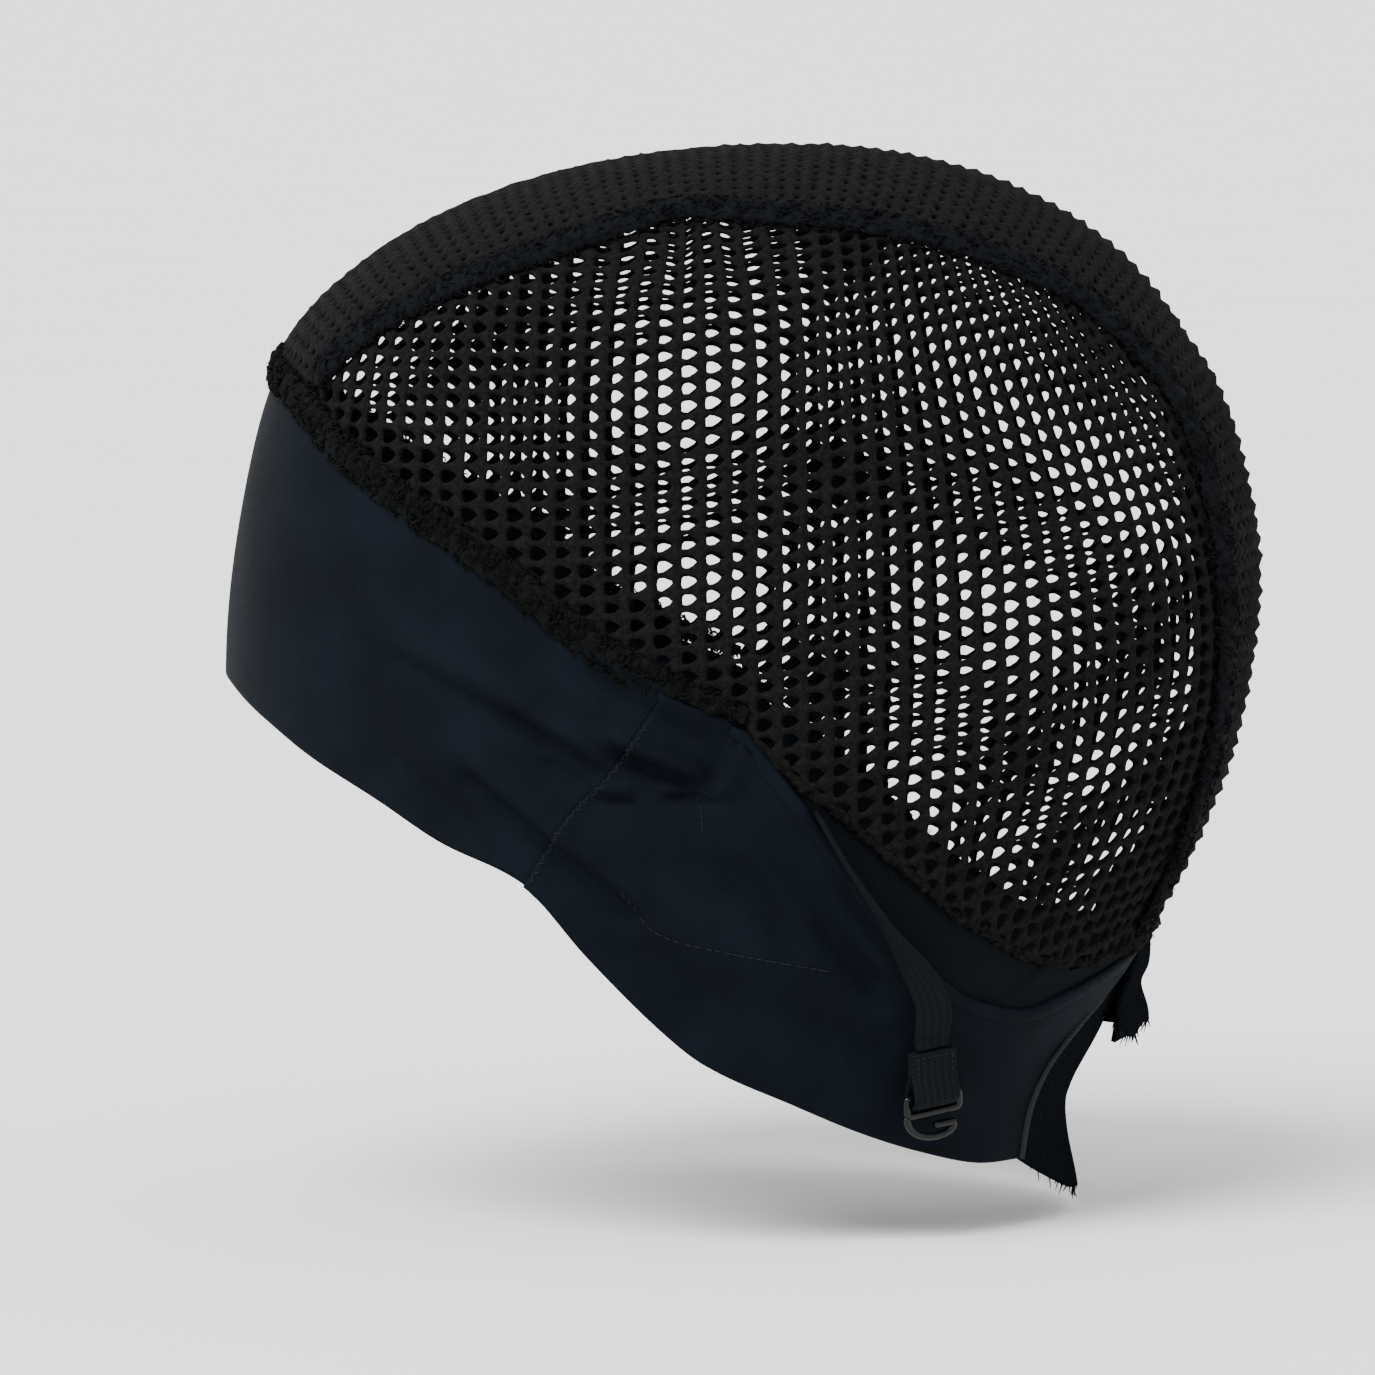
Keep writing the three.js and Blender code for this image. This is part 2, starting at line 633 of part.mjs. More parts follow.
// The hook has a closed slot for the fold above an open ring with a tongue. Drawn with the
// middle of its upper bar at 0 and its mouth towards X.
function hookGeometry() {
  const slot = STRAP_WIDTH / 2 + HOOK_PLAY;
  const half = slot + HOOK_BAR;
  const inner = 1.2 * HOOK_BAR - half;
  const upper = HOOK_BAR / 2;
  const lower = -EYE_RADIUS - STRAP_WALL - HOOK_PLAY;
  const foot = upper - HOOK_LENGTH;
  const tongue = lower - HOOK_MOUTH;
  const outline = new THREE.Shape();
  outline.moveTo(-half, upper);
  outline.lineTo(half, upper);
  outline.lineTo(half, lower - HOOK_BAR);
  outline.lineTo(inner, lower - HOOK_BAR);
  outline.bezierCurveTo(inner, foot, half / 2, foot + HOOK_BAR, half / 2, tongue - HOOK_BAR);
  outline.lineTo(0, tongue - HOOK_BAR);
  outline.lineTo(0, tongue);
  outline.lineTo(half - HOOK_BAR, tongue);
  outline.bezierCurveTo(half, foot, -half, foot - HOOK_BAR, -half, lower / 2);
  const opening = new THREE.Path();
  opening.moveTo(-slot, upper - HOOK_BAR);
  opening.lineTo(-slot, lower);
  opening.lineTo(slot, lower);
  opening.lineTo(slot, upper - HOOK_BAR);
  outline.holes.push(opening);
  const options = { depth: HOOK_WALL, bevelEnabled: false, curveSegments: 10 };
  return new THREE.ExtrudeGeometry(outline, options).translate(0, 0, -HOOK_WALL / 2);
}

// Stands a shape that was drawn across, up and out of the strap below the strap's end.
function belowStrap(geometry, down) {
  const { centre, along, out } = strapFrame(1);
  const up = along.clone().negate();
  const frame = new THREE.Matrix4().makeBasis(up.clone().cross(out), up, out);
  frame.setPosition(centre.addScaledVector(along, down));
  return geometry.applyMatrix4(frame);
}

const cap = new THREE.Group();

function addPiece(name, geometry, finish) {
  const mesh = new THREE.Mesh(geometry, new THREE.MeshStandardMaterial(finish));
  mesh.name = name;
  cap.add(mesh);
  return mesh;
}

// The right side is the left side's mirror image.
function addBoth(name, geometry, finish) {
  addPiece(name + "_left", geometry, finish);
  addPiece(name + "_right", geometry, finish).scale.x = -1;
}

function addTrims() {
  const seam = { width: SEAM_WIDTH, height: SEAM_HEIGHT, base: SECOND_LAYER };
  addBoth("crown_seam", trimGeometry({ steps: 30, route: seamRoute, ...seam }), SEAM_CLOTH);
  const hem = { width: HEM_WIDTH, height: HEM_HEIGHT, base: SECOND_LAYER };
  addPiece("net_hem", trimGeometry({ steps: 40, route: hemRoute, ...hem }), SEAM_CLOTH);
  const edge = { width: EDGE_WIDTH, height: EDGE_HEIGHT, base: SECOND_LAYER };
  addBoth("flap_edge", trimGeometry({ steps: 16, route: flapEdgeRoute, ...edge }), SMOOTH_CLOTH);
  const piping = { width: PIPING_WIDTH, height: PIPING_HEIGHT, base: 0 };
  addBoth("nape_piping", trimGeometry({ steps: 10, route: pipingRoute, ...piping }), PIPING_CLOTH);
}

function addCloths() {
  const middle = { columns: 13, rows: 4, place: centrePlace, open: () => true };
  addPiece("crown_centre", netCloth(middle), NET_CLOTH);
  const notAtEnd = (i) => i > 0 && i < SIDE_COLUMNS - 1;
  const side = { columns: SIDE_COLUMNS, rows: 4, place: sideNetPlace, open: notAtEnd };
  addBoth("crown_side", netCloth(side), NET_CLOTH);
  addPiece("front_band", plainCloth({ columns: 28, rows: 5, place: bandPlace }), SMOOTH_CLOTH);
  const panel = { columns: PANEL_COLUMNS, rows: 6, place: panelPlace, lift: panelLift };
  addBoth("side_panel", plainCloth(panel), SMOOTH_CLOTH);
  addBoth("under_band", plainCloth({ columns: 12, rows: 2, place: underBandPlace }), ELASTIC);
  const nape = { columns: 12, rows: 6, place: napePlace, lift: napeLift };
  addPiece("nape_panel", plainCloth(nape), VELVET);
  const flap = { columns: 8, rows: 4, place: napeFlapPlace, lift: napeFlapLift };
  addPiece("nape_flap", plainCloth(flap), VELVET);
}

function addStraps() {
  const foldTop = JOIN_GAP;
  addBoth("strap", strapGeometry(), WEBBING);
  addBoth("strap_fold", belowStrap(foldGeometry(), foldTop), WEBBING);
  addBoth("strap_hook", belowStrap(hookGeometry(), foldTop - EYE_HEIGHT), HOOK_FINISH);
}

addCloths();
addTrims();
addStraps();

export default cap;
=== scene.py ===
"""A stretch wig cap as it is worn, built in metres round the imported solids.

X points to the wearer's left, Y to the back of the head and Z up, from the inside of the crown.
A turn is the heading round the head in degrees, from the forehead through 90 at the ear to 180
at the nape. An arc is the angle over the crown in degrees, from the forehead to the nape.
A drop is a share of CAP_DROP below the crown.
"""

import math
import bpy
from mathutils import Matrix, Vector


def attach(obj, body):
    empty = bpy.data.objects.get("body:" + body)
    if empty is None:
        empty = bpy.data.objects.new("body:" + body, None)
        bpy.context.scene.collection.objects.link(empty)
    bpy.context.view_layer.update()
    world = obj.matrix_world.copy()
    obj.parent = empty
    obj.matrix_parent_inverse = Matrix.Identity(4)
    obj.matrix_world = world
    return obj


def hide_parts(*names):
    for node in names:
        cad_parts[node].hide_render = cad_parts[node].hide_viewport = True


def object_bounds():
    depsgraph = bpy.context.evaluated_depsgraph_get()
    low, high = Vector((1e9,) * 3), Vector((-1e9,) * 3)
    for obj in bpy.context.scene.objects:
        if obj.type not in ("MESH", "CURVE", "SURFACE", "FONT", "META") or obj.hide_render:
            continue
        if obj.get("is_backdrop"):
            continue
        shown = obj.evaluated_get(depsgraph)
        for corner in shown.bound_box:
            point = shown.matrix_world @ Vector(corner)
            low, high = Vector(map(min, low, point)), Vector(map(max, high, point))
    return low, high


bl_info = {
    "name": "Wig cap",
    "version": (1, 0, 0),
    "blender": (4, 5, 0),
    "location": "View3D > Sidebar > Wig cap",
    "description": "Builds a stretch wig cap of knitted net, smooth cloth, straps and velvet",
    "category": "Add Mesh",
}

import bmesh
import bpy
import numpy as np
from bpy.props import FloatProperty, FloatVectorProperty, IntProperty, PointerProperty
from bpy.types import Operator, Panel, PropertyGroup
from mathutils import Matrix, Vector

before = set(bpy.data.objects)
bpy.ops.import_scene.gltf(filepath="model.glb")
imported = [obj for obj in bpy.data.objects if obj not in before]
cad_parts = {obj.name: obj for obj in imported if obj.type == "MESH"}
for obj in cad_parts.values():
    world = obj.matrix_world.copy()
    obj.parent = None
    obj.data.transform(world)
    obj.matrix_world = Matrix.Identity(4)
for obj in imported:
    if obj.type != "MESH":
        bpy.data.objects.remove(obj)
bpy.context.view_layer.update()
MM = 0.001

# The form of the head, as the solids have it.
CAP_DROP = 0.190
FRONT_REACH = 0.104
BACK_REACH = 0.086
HALF_BREADTH = 0.075
SECTION_POWER = 2.25
MIDDLE_Y = (BACK_REACH - FRONT_REACH) / 2
MIDDLE_DROP = 0.45
HEAD_CENTRE = np.array([0.0, MIDDLE_Y, -MIDDLE_DROP * CAP_DROP])
FARTHEST = 0.5
HALVINGS = 26

# Layers of cloth over the head, and how the pieces overlap.
CLOTH_WALL = 1.0 * MM
SECOND_LAYER = 1.35 * MM
JOIN_GAP = 0.4 * MM
TUCK = 2.4 * MM
UNDERLAP = 4 * MM
EDGE_OVERLAP = 1.2 * MM


def table(columns, *rows):
    """Rows by the names of their columns."""
    return [dict(zip(columns.split(), row)) for row in rows]


# Level sections: front, back and side are shares of the three reaches.
LEVELS = table(
    "drop front back side",
    (0.0, 0.0, 0.0, 0.0), (0.01, 0.26, 0.245, 0.28), (0.03, 0.435, 0.415, 0.455),
    (0.065, 0.61, 0.58, 0.63), (0.11, 0.75, 0.715, 0.765), (0.175, 0.875, 0.83, 0.88),
    (0.24, 0.925, 0.918, 0.945), (0.315, 0.96, 0.97, 0.985), (0.4, 0.985, 1.0, 1.0),
    (0.495, 1.0, 0.985, 1.0), (0.59, 0.995, 0.94, 0.98), (0.685, 0.97, 0.855, 0.945),
    (0.79, 0.93, 0.73, 0.9), (0.895, 0.885, 0.64, 0.855), (1.02, 0.825, 0.565, 0.8),
)
for level in LEVELS:
    level["root"] = math.sqrt(level["drop"])

# Crown seam: its distance from the middle plane is a share of HALF_BREADTH.
CROWN_SEAM = table(
    "arc side",
    (27, 0.455), (38, 0.55), (50, 0.61), (64, 0.635), (75, 0.61), (81, 0.585), (89, 0.605),
    (102, 0.62), (124, 0.6), (140, 0.525), (155, 0.49), (175, 0.475), (192, 0.41), (205, 0.38),
    (220, 0.33),
)

# Edges that run round the head.
HEM_LINE = table(
    "turn drop",
    (0, 0.221), (17, 0.239), (26, 0.264), (34, 0.297), (45, 0.343), (58, 0.403), (70, 0.472),
    (80, 0.508), (90, 0.535),
)
NET_EDGE = table(
    "turn drop",
    (90, 0.532), (95, 0.566), (100, 0.595), (107, 0.635), (113, 0.669), (121, 0.711), (128, 0.738),
    (134, 0.756), (143, 0.768), (162, 0.763), (180, 0.757),
)
FLAP_LINE = table(
    "turn drop",
    (90, 0.541), (96, 0.592), (105, 0.67), (111, 0.721), (122, 0.788), (130, 0.808), (137, 0.812),
    (145, 0.798), (154, 0.781), (164, 0.764),
)
LOWER_EDGE = table(
    "turn drop",
    (0, 0.506), (12, 0.516), (23, 0.543), (32, 0.576), (41, 0.61), (49, 0.647), (60, 0.687),
    (68, 0.754), (77, 0.817), (85, 0.858), (100, 0.899), (111, 0.926), (122, 0.947), (135, 0.964),
    (147, 0.966),
)

# Upright seams, from their upper end down.
SIDE_SEAM = table(
    "drop turn",
    (0.508, 79), (0.578, 72), (0.614, 67), (0.642, 64), (0.687, 60),
)
NAPE_SEAM = table(
    "drop turn",
    (0.764, 164), (0.805, 160), (0.838, 152.6), (0.873, 146.6), (0.915, 144), (0.966, 144.5),
)

# The strap's way down from the flap's edge.
STRAP_ROUTE = table(
    "share turn drop roll climb slack",
    (0, 99.9, 0.611, 88, 0, 0), (0.25, 104.6, 0.664, 88, 0.7, 0), (0.5, 109.8, 0.714, 82, 1, 0),
    (0.66, 114.0, 0.752, 60, 1, 0.03), (0.82, 117.4, 0.793, 34, 1, 0.12),
    (1, 118.4, 0.836, -6, 1, 0.2),
)

# Creases of the smooth cloth, from one end to the other. Width and depth are in millimetres.
CREASES = table(
    "turn drop end_turn end_drop width depth",
    (43, 0.470, 59, 0.532, 2.2, 1.0), (58, 0.524, 71, 0.584, 2.0, 1.5),
    (52, 0.578, 64, 0.656, 2.0, 1.4), (63, 0.649, 75, 0.720, 2.2, 1.2),
    (71, 0.556, 84, 0.594, 1.7, 1.6), (63, 0.566, 70, 0.597, 1.2, 0.8),
    (69, 0.601, 75, 0.603, 1.0, 0.9), (67, 0.478, 84, 0.552, 2.6, 0.9),
    (79, 0.600, 86, 0.603, 1.0, 1.2), (42, 0.560, 54, 0.632, 2.6, 0.7),
    (86, 0.655, 98, 0.745, 3.0, 0.8), (100, 0.712, 111, 0.790, 2.2, 0.9),
    (101, 0.820, 114, 0.846, 3.2, 0.8), (74, 0.745, 86, 0.800, 3.0, 0.6),
)


def look_up(rows, key, column, at):
    """A smooth curve through a table's rows, for an array of places."""
    keys = np.array([float(row[key]) for row in rows])
    values = np.array([float(row[column]) for row in rows])
    slopes = np.gradient(values, keys) if len(rows) < 3 else np.empty_like(values)
    slopes[1:-1] = (values[2:] - values[:-2]) / (keys[2:] - keys[:-2])
    slopes[0] = (values[1] - values[0]) / (keys[1] - keys[0])
    slopes[-1] = (values[-1] - values[-2]) / (keys[-1] - keys[-2])
    at = np.asarray(at, float)
    i = np.clip(np.searchsorted(keys, at, side="right") - 1, 0, len(rows) - 2)
    span = keys[i + 1] - keys[i]
    t = np.clip((at - keys[i]) / span, 0, 1)
    t2, t3 = t * t, t * t * t
    ends = values[i] * (2 * t3 - 3 * t2 + 1) + values[i + 1] * (3 * t2 - 2 * t3)
    return ends + span * (slopes[i] * (t3 - 2 * t2 + t) + slopes[i + 1] * (t3 - t2))


def lerp(start, end, share):
    return start + (end - start) * share


def smooth_step(at, low, high):
    """0 up to low, 1 from high, and smooth between them."""
    t = np.clip((at - low) / (high - low), 0, 1)
    return t * t * (3 - 2 * t)


def unit(vectors):
    return vectors / np.maximum(np.linalg.norm(vectors, axis=-1, keepdims=True), 1e-12)


def head_measure(points):
    """Under 1 inside the head and 1 on its surface."""
    below = np.minimum(points[:, 2], 0)
    root = np.sqrt(-below / CAP_DROP)
    front = FRONT_REACH * look_up(LEVELS, "root", "front", root)
    back = BACK_REACH * look_up(LEVELS, "root", "back", root)
    side = HALF_BREADTH * look_up(LEVELS, "root", "side", root)
    length = np.maximum(back + front, 1e-6)
    along = np.abs((2 * points[:, 1] - back + front) / length)
    across = np.abs(points[:, 0] / np.maximum(side, 1e-6))
    measure = along**SECTION_POWER + across**SECTION_POWER
    return np.where(points[:, 2] >= 0, 1 + FARTHEST, measure)


def head_point(start, direction):
    """Where rays from inside the head come out."""
    near = np.zeros(len(start))
    far = np.full(len(start), FARTHEST)
    for _ in range(HALVINGS):
        middle = (near + far) / 2
        inside = head_measure(start + direction * middle[:, None]) < 1
        near = np.where(inside, middle, near)
        far = np.where(inside, far, middle)
    return start + direction * near[:, None]


def head_normal(points):
    """Directions out of the head, measured a little inside it."""
    inner = points + 0.01 * (HEAD_CENTRE - points)
    slopes = []
    for axis in range(3):
        step = np.zeros(3)
        step[axis] = 0.05 * MM
        slopes.append(head_measure(inner + step) - head_measure(inner - step))
    return unit(np.stack(slopes, axis=1))


def at_turn(turn, drop):
    turn, drop = np.broadcast_arrays(np.asarray(turn, float), np.asarray(drop, float))
    heading = np.radians(turn)
    level_z = -drop * CAP_DROP
    start = np.stack([0 * drop, 0 * drop + MIDDLE_Y, level_z], axis=-1)
    return head_point(start, np.stack([np.sin(heading), -np.cos(heading), 0 * drop], axis=-1))


def at_arc(arc, x):
    arc, x = np.broadcast_arrays(np.asarray(arc, float), np.asarray(x, float))
    angle = np.radians(arc)
    start = np.stack([x, 0 * x + HEAD_CENTRE[1], 0 * x + HEAD_CENTRE[2]], axis=-1)
    return head_point(start, np.stack([0 * x, -np.cos(angle), np.sin(angle)], axis=-1))


def arc_of(points):
    arc = np.degrees(
        np.arctan2(points[:, 2] - HEAD_CENTRE[2], HEAD_CENTRE[1] - points[:, 1])
    )
    return np.where(arc < -90, arc + 360, arc)


def seam_offset(arc):
    return HALF_BREADTH * look_up(CROWN_SEAM, "arc", "side", arc)


def edge_drop(rows, turn):
    return look_up(rows, "turn", "drop", np.abs(turn))


def raised(points, lift):
    """Points on the head, lifted off it."""
    return points + head_normal(points) * np.asarray(lift)[..., None]


def ripple(points, size, seed):
    """Even waves of a size in many directions, from -1 to 1, the same on each run."""
    draw = np.random.default_rng(seed)
    total = np.zeros(len(points))
    waves = 7
    for _ in range(waves):
        direction = unit(draw.normal(size=3))
        pitch = size * draw.uniform(0.7, 1.5)
        total += np.sin(2 * np.pi * (points @ direction) / pitch + draw.uniform(0, 7))
    return total / waves * 1.6


# Settings that a user would change.
def length_property(name, description, default):
    return FloatProperty(name=name, description=description, default=default, unit="LENGTH")


def factor_property(name, description, default):
    return FloatProperty(name=name, description=description, default=default, subtype="FACTOR")


class NetSettings(PropertyGroup):
    column_pitch: length_property("Column pitch", "From one gap to the next round the head", 4.55 * MM)
    row_pitch: length_property("Row pitch", "From one gap to the next up the side", 3.45 * MM)
    crown_pitch: length_property("Crown pitch", "From one gap to the next over the crown", 3.1 * MM)
    gap_length: factor_property("Gap length", "Length of a gap, as a share of its cell", 0.69)
    gap_height: factor_property("Gap height", "Height of a gap, as a share of its cell", 0.68)
    strand: length_property("Strand", "Thickness of the knitted strands", 1.35 * MM)
    unevenness: factor_property("Unevenness", "How much the gaps differ in size", 0.07)


class TrimSettings(PropertyGroup):
    seam_width: length_property("Seam width", "Width of the rolled crown seams", 6.8 * MM)
    seam_height: length_property("Seam height", "Height of the crown seams over the net", 2 * MM)
    hem_width: length_property("Hem width", "Width of the overlocked hem on the band", 5.4 * MM)
    hem_height: length_property("Hem height", "Height of the hem over the band", 1.1 * MM)
    yarn: length_property("Yarn", "Thickness of the loose yarn on seams and hem", 0.42 * MM)
    loops_per_cm: IntProperty(
        name="Loops",
        description="Loose loops of yarn on each centimetre of seam and hem",
        default=56,
    )
    edge_width: length_property("Edge width", "Width of the bound edge of the ear panels", 2.8 * MM)
    edge_height: length_property("Edge height", "Height of the bound edge", 1.5 * MM)


class ClothSettings(PropertyGroup):
    smooth_wall: length_property("Smooth cloth", "Thickness of the band and the ear panels", 0.8 * MM)
    elastic_wall: length_property("Elastic", "Thickness of the flat elastic", 0.9 * MM)
    velvet_wall: length_property("Velvet", "Thickness of the velvet with its pile", 1.1 * MM)
    crease: factor_property("Creases", "Depth of the creases, against those of the worn cap", 1.3)


class StrapSettings(PropertyGroup):
    width: length_property("Width", "Width of the elastic straps", 9 * MM)
    wall: length_property("Thickness", "Thickness of the straps", 1 * MM)
    fold_length: length_property("Fold", "Length of the doubled end", 11 * MM)
    hook_length: length_property(
        "Hook length", "From the hook's upper bar to the foot of its ring", 9.5 * MM
    )
    hook_bar: length_property("Hook bar", "Thickness of the hook's bars", 1.3 * MM)


def colour_property(name, description, default):
    return FloatVectorProperty(
        name=name, description=description, default=default, subtype="COLOR", min=0, max=1
    )


class ColourSettings(PropertyGroup):
    smooth: colour_property("Smooth cloth", "Band and ear panels", (0.0018, 0.003, 0.005))
    net: colour_property("Net", "Knitted strands", (0.0019, 0.002, 0.0018))
    seam: colour_property("Seam yarn", "Crown seams", (0.0011, 0.0013, 0.0017))
    hem: colour_property("Hem yarn", "Overlocked hem of the net", (0.0011, 0.0012, 0.0012))
    elastic: colour_property("Elastic", "Flat elastic behind the flap", (0.0026, 0.0032, 0.0044))
    webbing: colour_property("Webbing", "Straps", (0.0035, 0.0042, 0.0052))
    hook: colour_property("Hook", "Hooks", (0.0016, 0.0018, 0.0021))
    velvet: colour_property("Velvet", "Nape panel and flap", (0.0024, 0.0029, 0.0038))
    piping: colour_property("Piping", "Cord along the nape seam", (0.013, 0.0145, 0.017))
    thread: colour_property("Thread", "Stitches", (0.005, 0.006, 0.008))
    floor: colour_property("Floor", "Studio floor", (0.92, 0.92, 0.92))


class StageSettings(PropertyGroup):
    view_width: length_property("View width", "Width of the view at the cap", 256.5 * MM)
    distance: length_property("Distance", "From the camera to the cap's middle", 1.75)
    elevation: FloatProperty(
        name="Elevation",
        description="Camera height above the horizon",
        default=math.radians(4.5),
        subtype="ANGLE",
    )
    floor_gap: length_property("Floor gap", "From the floor to the cap's lowest point", 2 * MM)
    sun: FloatProperty(
        name="Main light",
        description="Strength of the broad light from above the forehead",
        default=5.0,
    )
    rim_power: FloatProperty(
        name="Front light",
        description="Power of the light before the forehead",
        default=5,
        unit="POWER",
    )
    sky: FloatProperty(
        name="Sky",
        description="Strength of the even light from all round",
        default=1.2,
    )


SETTINGS = {
    "wig_cap_net": NetSettings,
    "wig_cap_trim": TrimSettings,
    "wig_cap_cloth": ClothSettings,
    "wig_cap_strap": StrapSettings,
    "wig_cap_colour": ColourSettings,
    "wig_cap_stage": StageSettings,
}


# Materials.
def new_material(name, colour, roughness, **sockets):
    """A material with its shader, its node tree and the bump input of the shader."""
    material = bpy.data.materials.new(name)
    material.use_nodes = True
    tree = material.node_tree
    shader = tree.nodes["Principled BSDF"]
    shader.inputs["Base Color"].default_value = (*colour, 1)
    shader.inputs["Roughness"].default_value = roughness
    for socket, value in sockets.items():
        shader.inputs[socket.replace("_", " ")].default_value = value
    return material, tree, shader


def add_node(tree, kind, **inputs):
    node = tree.nodes.new(kind)
    for socket, value in inputs.items():
        node.inputs[socket.replace("_", " ")].default_value = value
    return node


def place_node(tree, output):
    """Texture coordinates: Object for patterns in space, UV for patterns on the cloth."""
    return add_node(tree, "ShaderNodeTexCoord").outputs[output]


def noise_node(tree, where, scale, detail=3.0):
    node = add_node(tree, "ShaderNodeTexNoise", Scale=scale, Detail=detail)
    tree.links.new(where, node.inputs["Vector"])
    return node.outputs["Fac"]


def wave_node(tree, where, pitch, direction, distortion=0.0):
    """Even ridges, a pitch apart in metres."""
    node = add_node(tree, "ShaderNodeTexWave", Scale=math.pi / 10 / pitch, Distortion=distortion)
    node.bands_direction = direction
    tree.links.new(where, node.inputs["Vector"])
    return node.outputs["Fac"]


def mixed(tree, a, b, share):
    """A number between two outputs."""
    node = tree.nodes.new("ShaderNodeMix")
    node.data_type = "FLOAT"
    node.inputs["Factor"].default_value = share
    tree.links.new(a, node.inputs["A"])
    tree.links.new(b, node.inputs["B"])
    return node.outputs["Result"]


def vary_colour(tree, shader, height, colour, lighter):
    """The colour runs from its own shade to a lighter one with a height."""
    ramp = tree.nodes.new("ShaderNodeValToRGB")
    ramp.color_ramp.elements[0].position = 0.36
    ramp.color_ramp.elements[0].color = (*colour, 1)
    ramp.color_ramp.elements[1].position = 0.68
    ramp.color_ramp.elements[1].color = (*(min(c * lighter, 1) for c in colour), 1)
    tree.links.new(height, ramp.inputs["Fac"])
    tree.links.new(ramp.outputs["Color"], shader.inputs["Base Color"])


def add_bump(tree, shader, height, distance, strength=1.0):
    node = add_node(tree, "ShaderNodeBump", Strength=strength, Distance=distance)
    tree.links.new(height, node.inputs["Height"])
    tree.links.new(node.outputs["Normal"], shader.inputs["Normal"])


def satin_jersey():
    """Fine knitted jersey with a soft sheen and faint mottling."""
    colour = bpy.context.scene.wig_cap_colour.smooth
    made, tree, shader = new_material(
        "satin_jersey",
        colour,
        0.72,
        Specular_IOR_Level=0.04,
        Sheen_Weight=0.006,
        Sheen_Roughness=0.3,
    )
    chart = place_node(tree, "UV")
    ribs = wave_node(tree, chart, 0.42 * MM, "X", 1.5)
    rows = wave_node(tree, chart, 0.36 * MM, "Y", 1.5)
    knit = mixed(tree, ribs, rows, 0.5)
    mottle = noise_node(tree, place_node(tree, "Object"), 70)
    vary_colour(tree, shader, mottle, colour, 1.5)
    add_bump(tree, shader, knit, 0.05 * MM)
    return made


def yarn(name, colour, lighter):
    """Matt spun yarn, with a bump of its plies and loose fibres."""
    made, tree, shader = new_material(
        name, colour, 0.9, Specular_IOR_Level=0.05, Sheen_Weight=0.005, Sheen_Roughness=0.6
    )
    place = place_node(tree, "Object")
    plies = noise_node(tree, place, 1000, 2)
    fibres = noise_node(tree, place, 3600, 3)
    height = mixed(tree, plies, fibres, 0.45)
    vary_colour(tree, shader, height, colour, lighter)
    add_bump(tree, shader, height, 1.2 * MM)
    return made


def net_yarn():
    return yarn("net_yarn", bpy.context.scene.wig_cap_colour.net, 4.5)


def hem_yarn():
    return yarn("hem_yarn", bpy.context.scene.wig_cap_colour.hem, 5.0)


def seam_yarn():
    return yarn("seam_yarn", bpy.context.scene.wig_cap_colour.seam, 5.0)


def flat_elastic():
    """Matt elastic with narrow ribs along its length."""
    colour = bpy.context.scene.wig_cap_colour.elastic
    made, tree, shader = new_material(
        "flat_elastic", colour, 0.85, Specular_IOR_Level=0.03, Sheen_Weight=0.003
    )
    chart = place_node(tree, "UV")
    ribs = wave_node(tree, chart, 0.7 * MM, "Y", 0.5)
    rows = wave_node(tree, chart, 0.45 * MM, "X", 1.0)
    height = mixed(tree, ribs, rows, 0.35)
    vary_colour(tree, shader, height, colour, 1.8)
    add_bump(tree, shader, height, 0.04 * MM)
    return made


def ribbed_elastic():
    """Woven elastic: lines along the strap and fine cross rows."""
    colour = bpy.context.scene.wig_cap_colour.webbing
    made, tree, shader = new_material(
        "ribbed_elastic", colour, 0.75, Specular_IOR_Level=0.03, Sheen_Weight=0.003
    )
    chart = place_node(tree, "UV")
    lines = wave_node(tree, chart, 0.75 * MM, "Y", 0.6)
    rows = wave_node(tree, chart, 0.5 * MM, "X", 0.8)
    height = mixed(tree, lines, rows, 0.5)
    vary_colour(tree, shader, height, colour, 1.7)
    add_bump(tree, shader, height, 0.12 * MM)
    return made


def hook_enamel():
    """Glossy enamel with slight unevenness."""
    colour = bpy.context.scene.wig_cap_colour.hook
    made, tree, shader = new_material(
        "hook_enamel", colour, 0.18, Specular_IOR_Level=0.2
    )
    place = place_node(tree, "Object")
    uneven = noise_node(tree, place, 420, 2)
    vary_colour(tree, shader, uneven, colour, 1.4)
    add_bump(tree, shader, uneven, 0.03 * MM)
    return made


def velvet_pile():
    """Short black pile that takes light at its edges."""
    colour = bpy.context.scene.wig_cap_colour.velvet
    made, tree, shader = new_material(
        "velvet_pile", colour, 1.0, Specular_IOR_Level=0.0, Sheen_Weight=0.004, Sheen_Roughness=0.4
    )
    place = place_node(tree, "Object")
    pile = noise_node(tree, place, 2600, 3)
    vary_colour(tree, shader, pile, colour, 2.5)
    add_bump(tree, shader, pile, 0.35 * MM)
    return made


def piping_cloth():
    """Light twill round a thin cord."""
    colour = bpy.context.scene.wig_cap_colour.piping
    made, tree, shader = new_material(
        "piping_cloth", colour, 0.8, Specular_IOR_Level=0.05, Sheen_Weight=0.003
    )
    chart = place_node(tree, "UV")
    twill = wave_node(tree, chart, 0.5 * MM, "DIAGONAL", 0.4)
    vary_colour(tree, shader, twill, colour, 1.35)
    add_bump(tree, shader, twill, 0.08 * MM)
    return made


def thread():
    """Sewing thread, a little lighter than the cloth."""
    colour = bpy.context.scene.wig_cap_colour.thread
    made, tree, shader = new_material(
        "thread", colour, 0.7, Specular_IOR_Level=0.1, Sheen_Weight=0.003
    )
    fibres = noise_node(tree, place_node(tree, "Object"), 4000, 2)
    vary_colour(tree, shader, fibres, colour, 1.6)
    add_bump(tree, shader, fibres, 0.05 * MM)
    return made


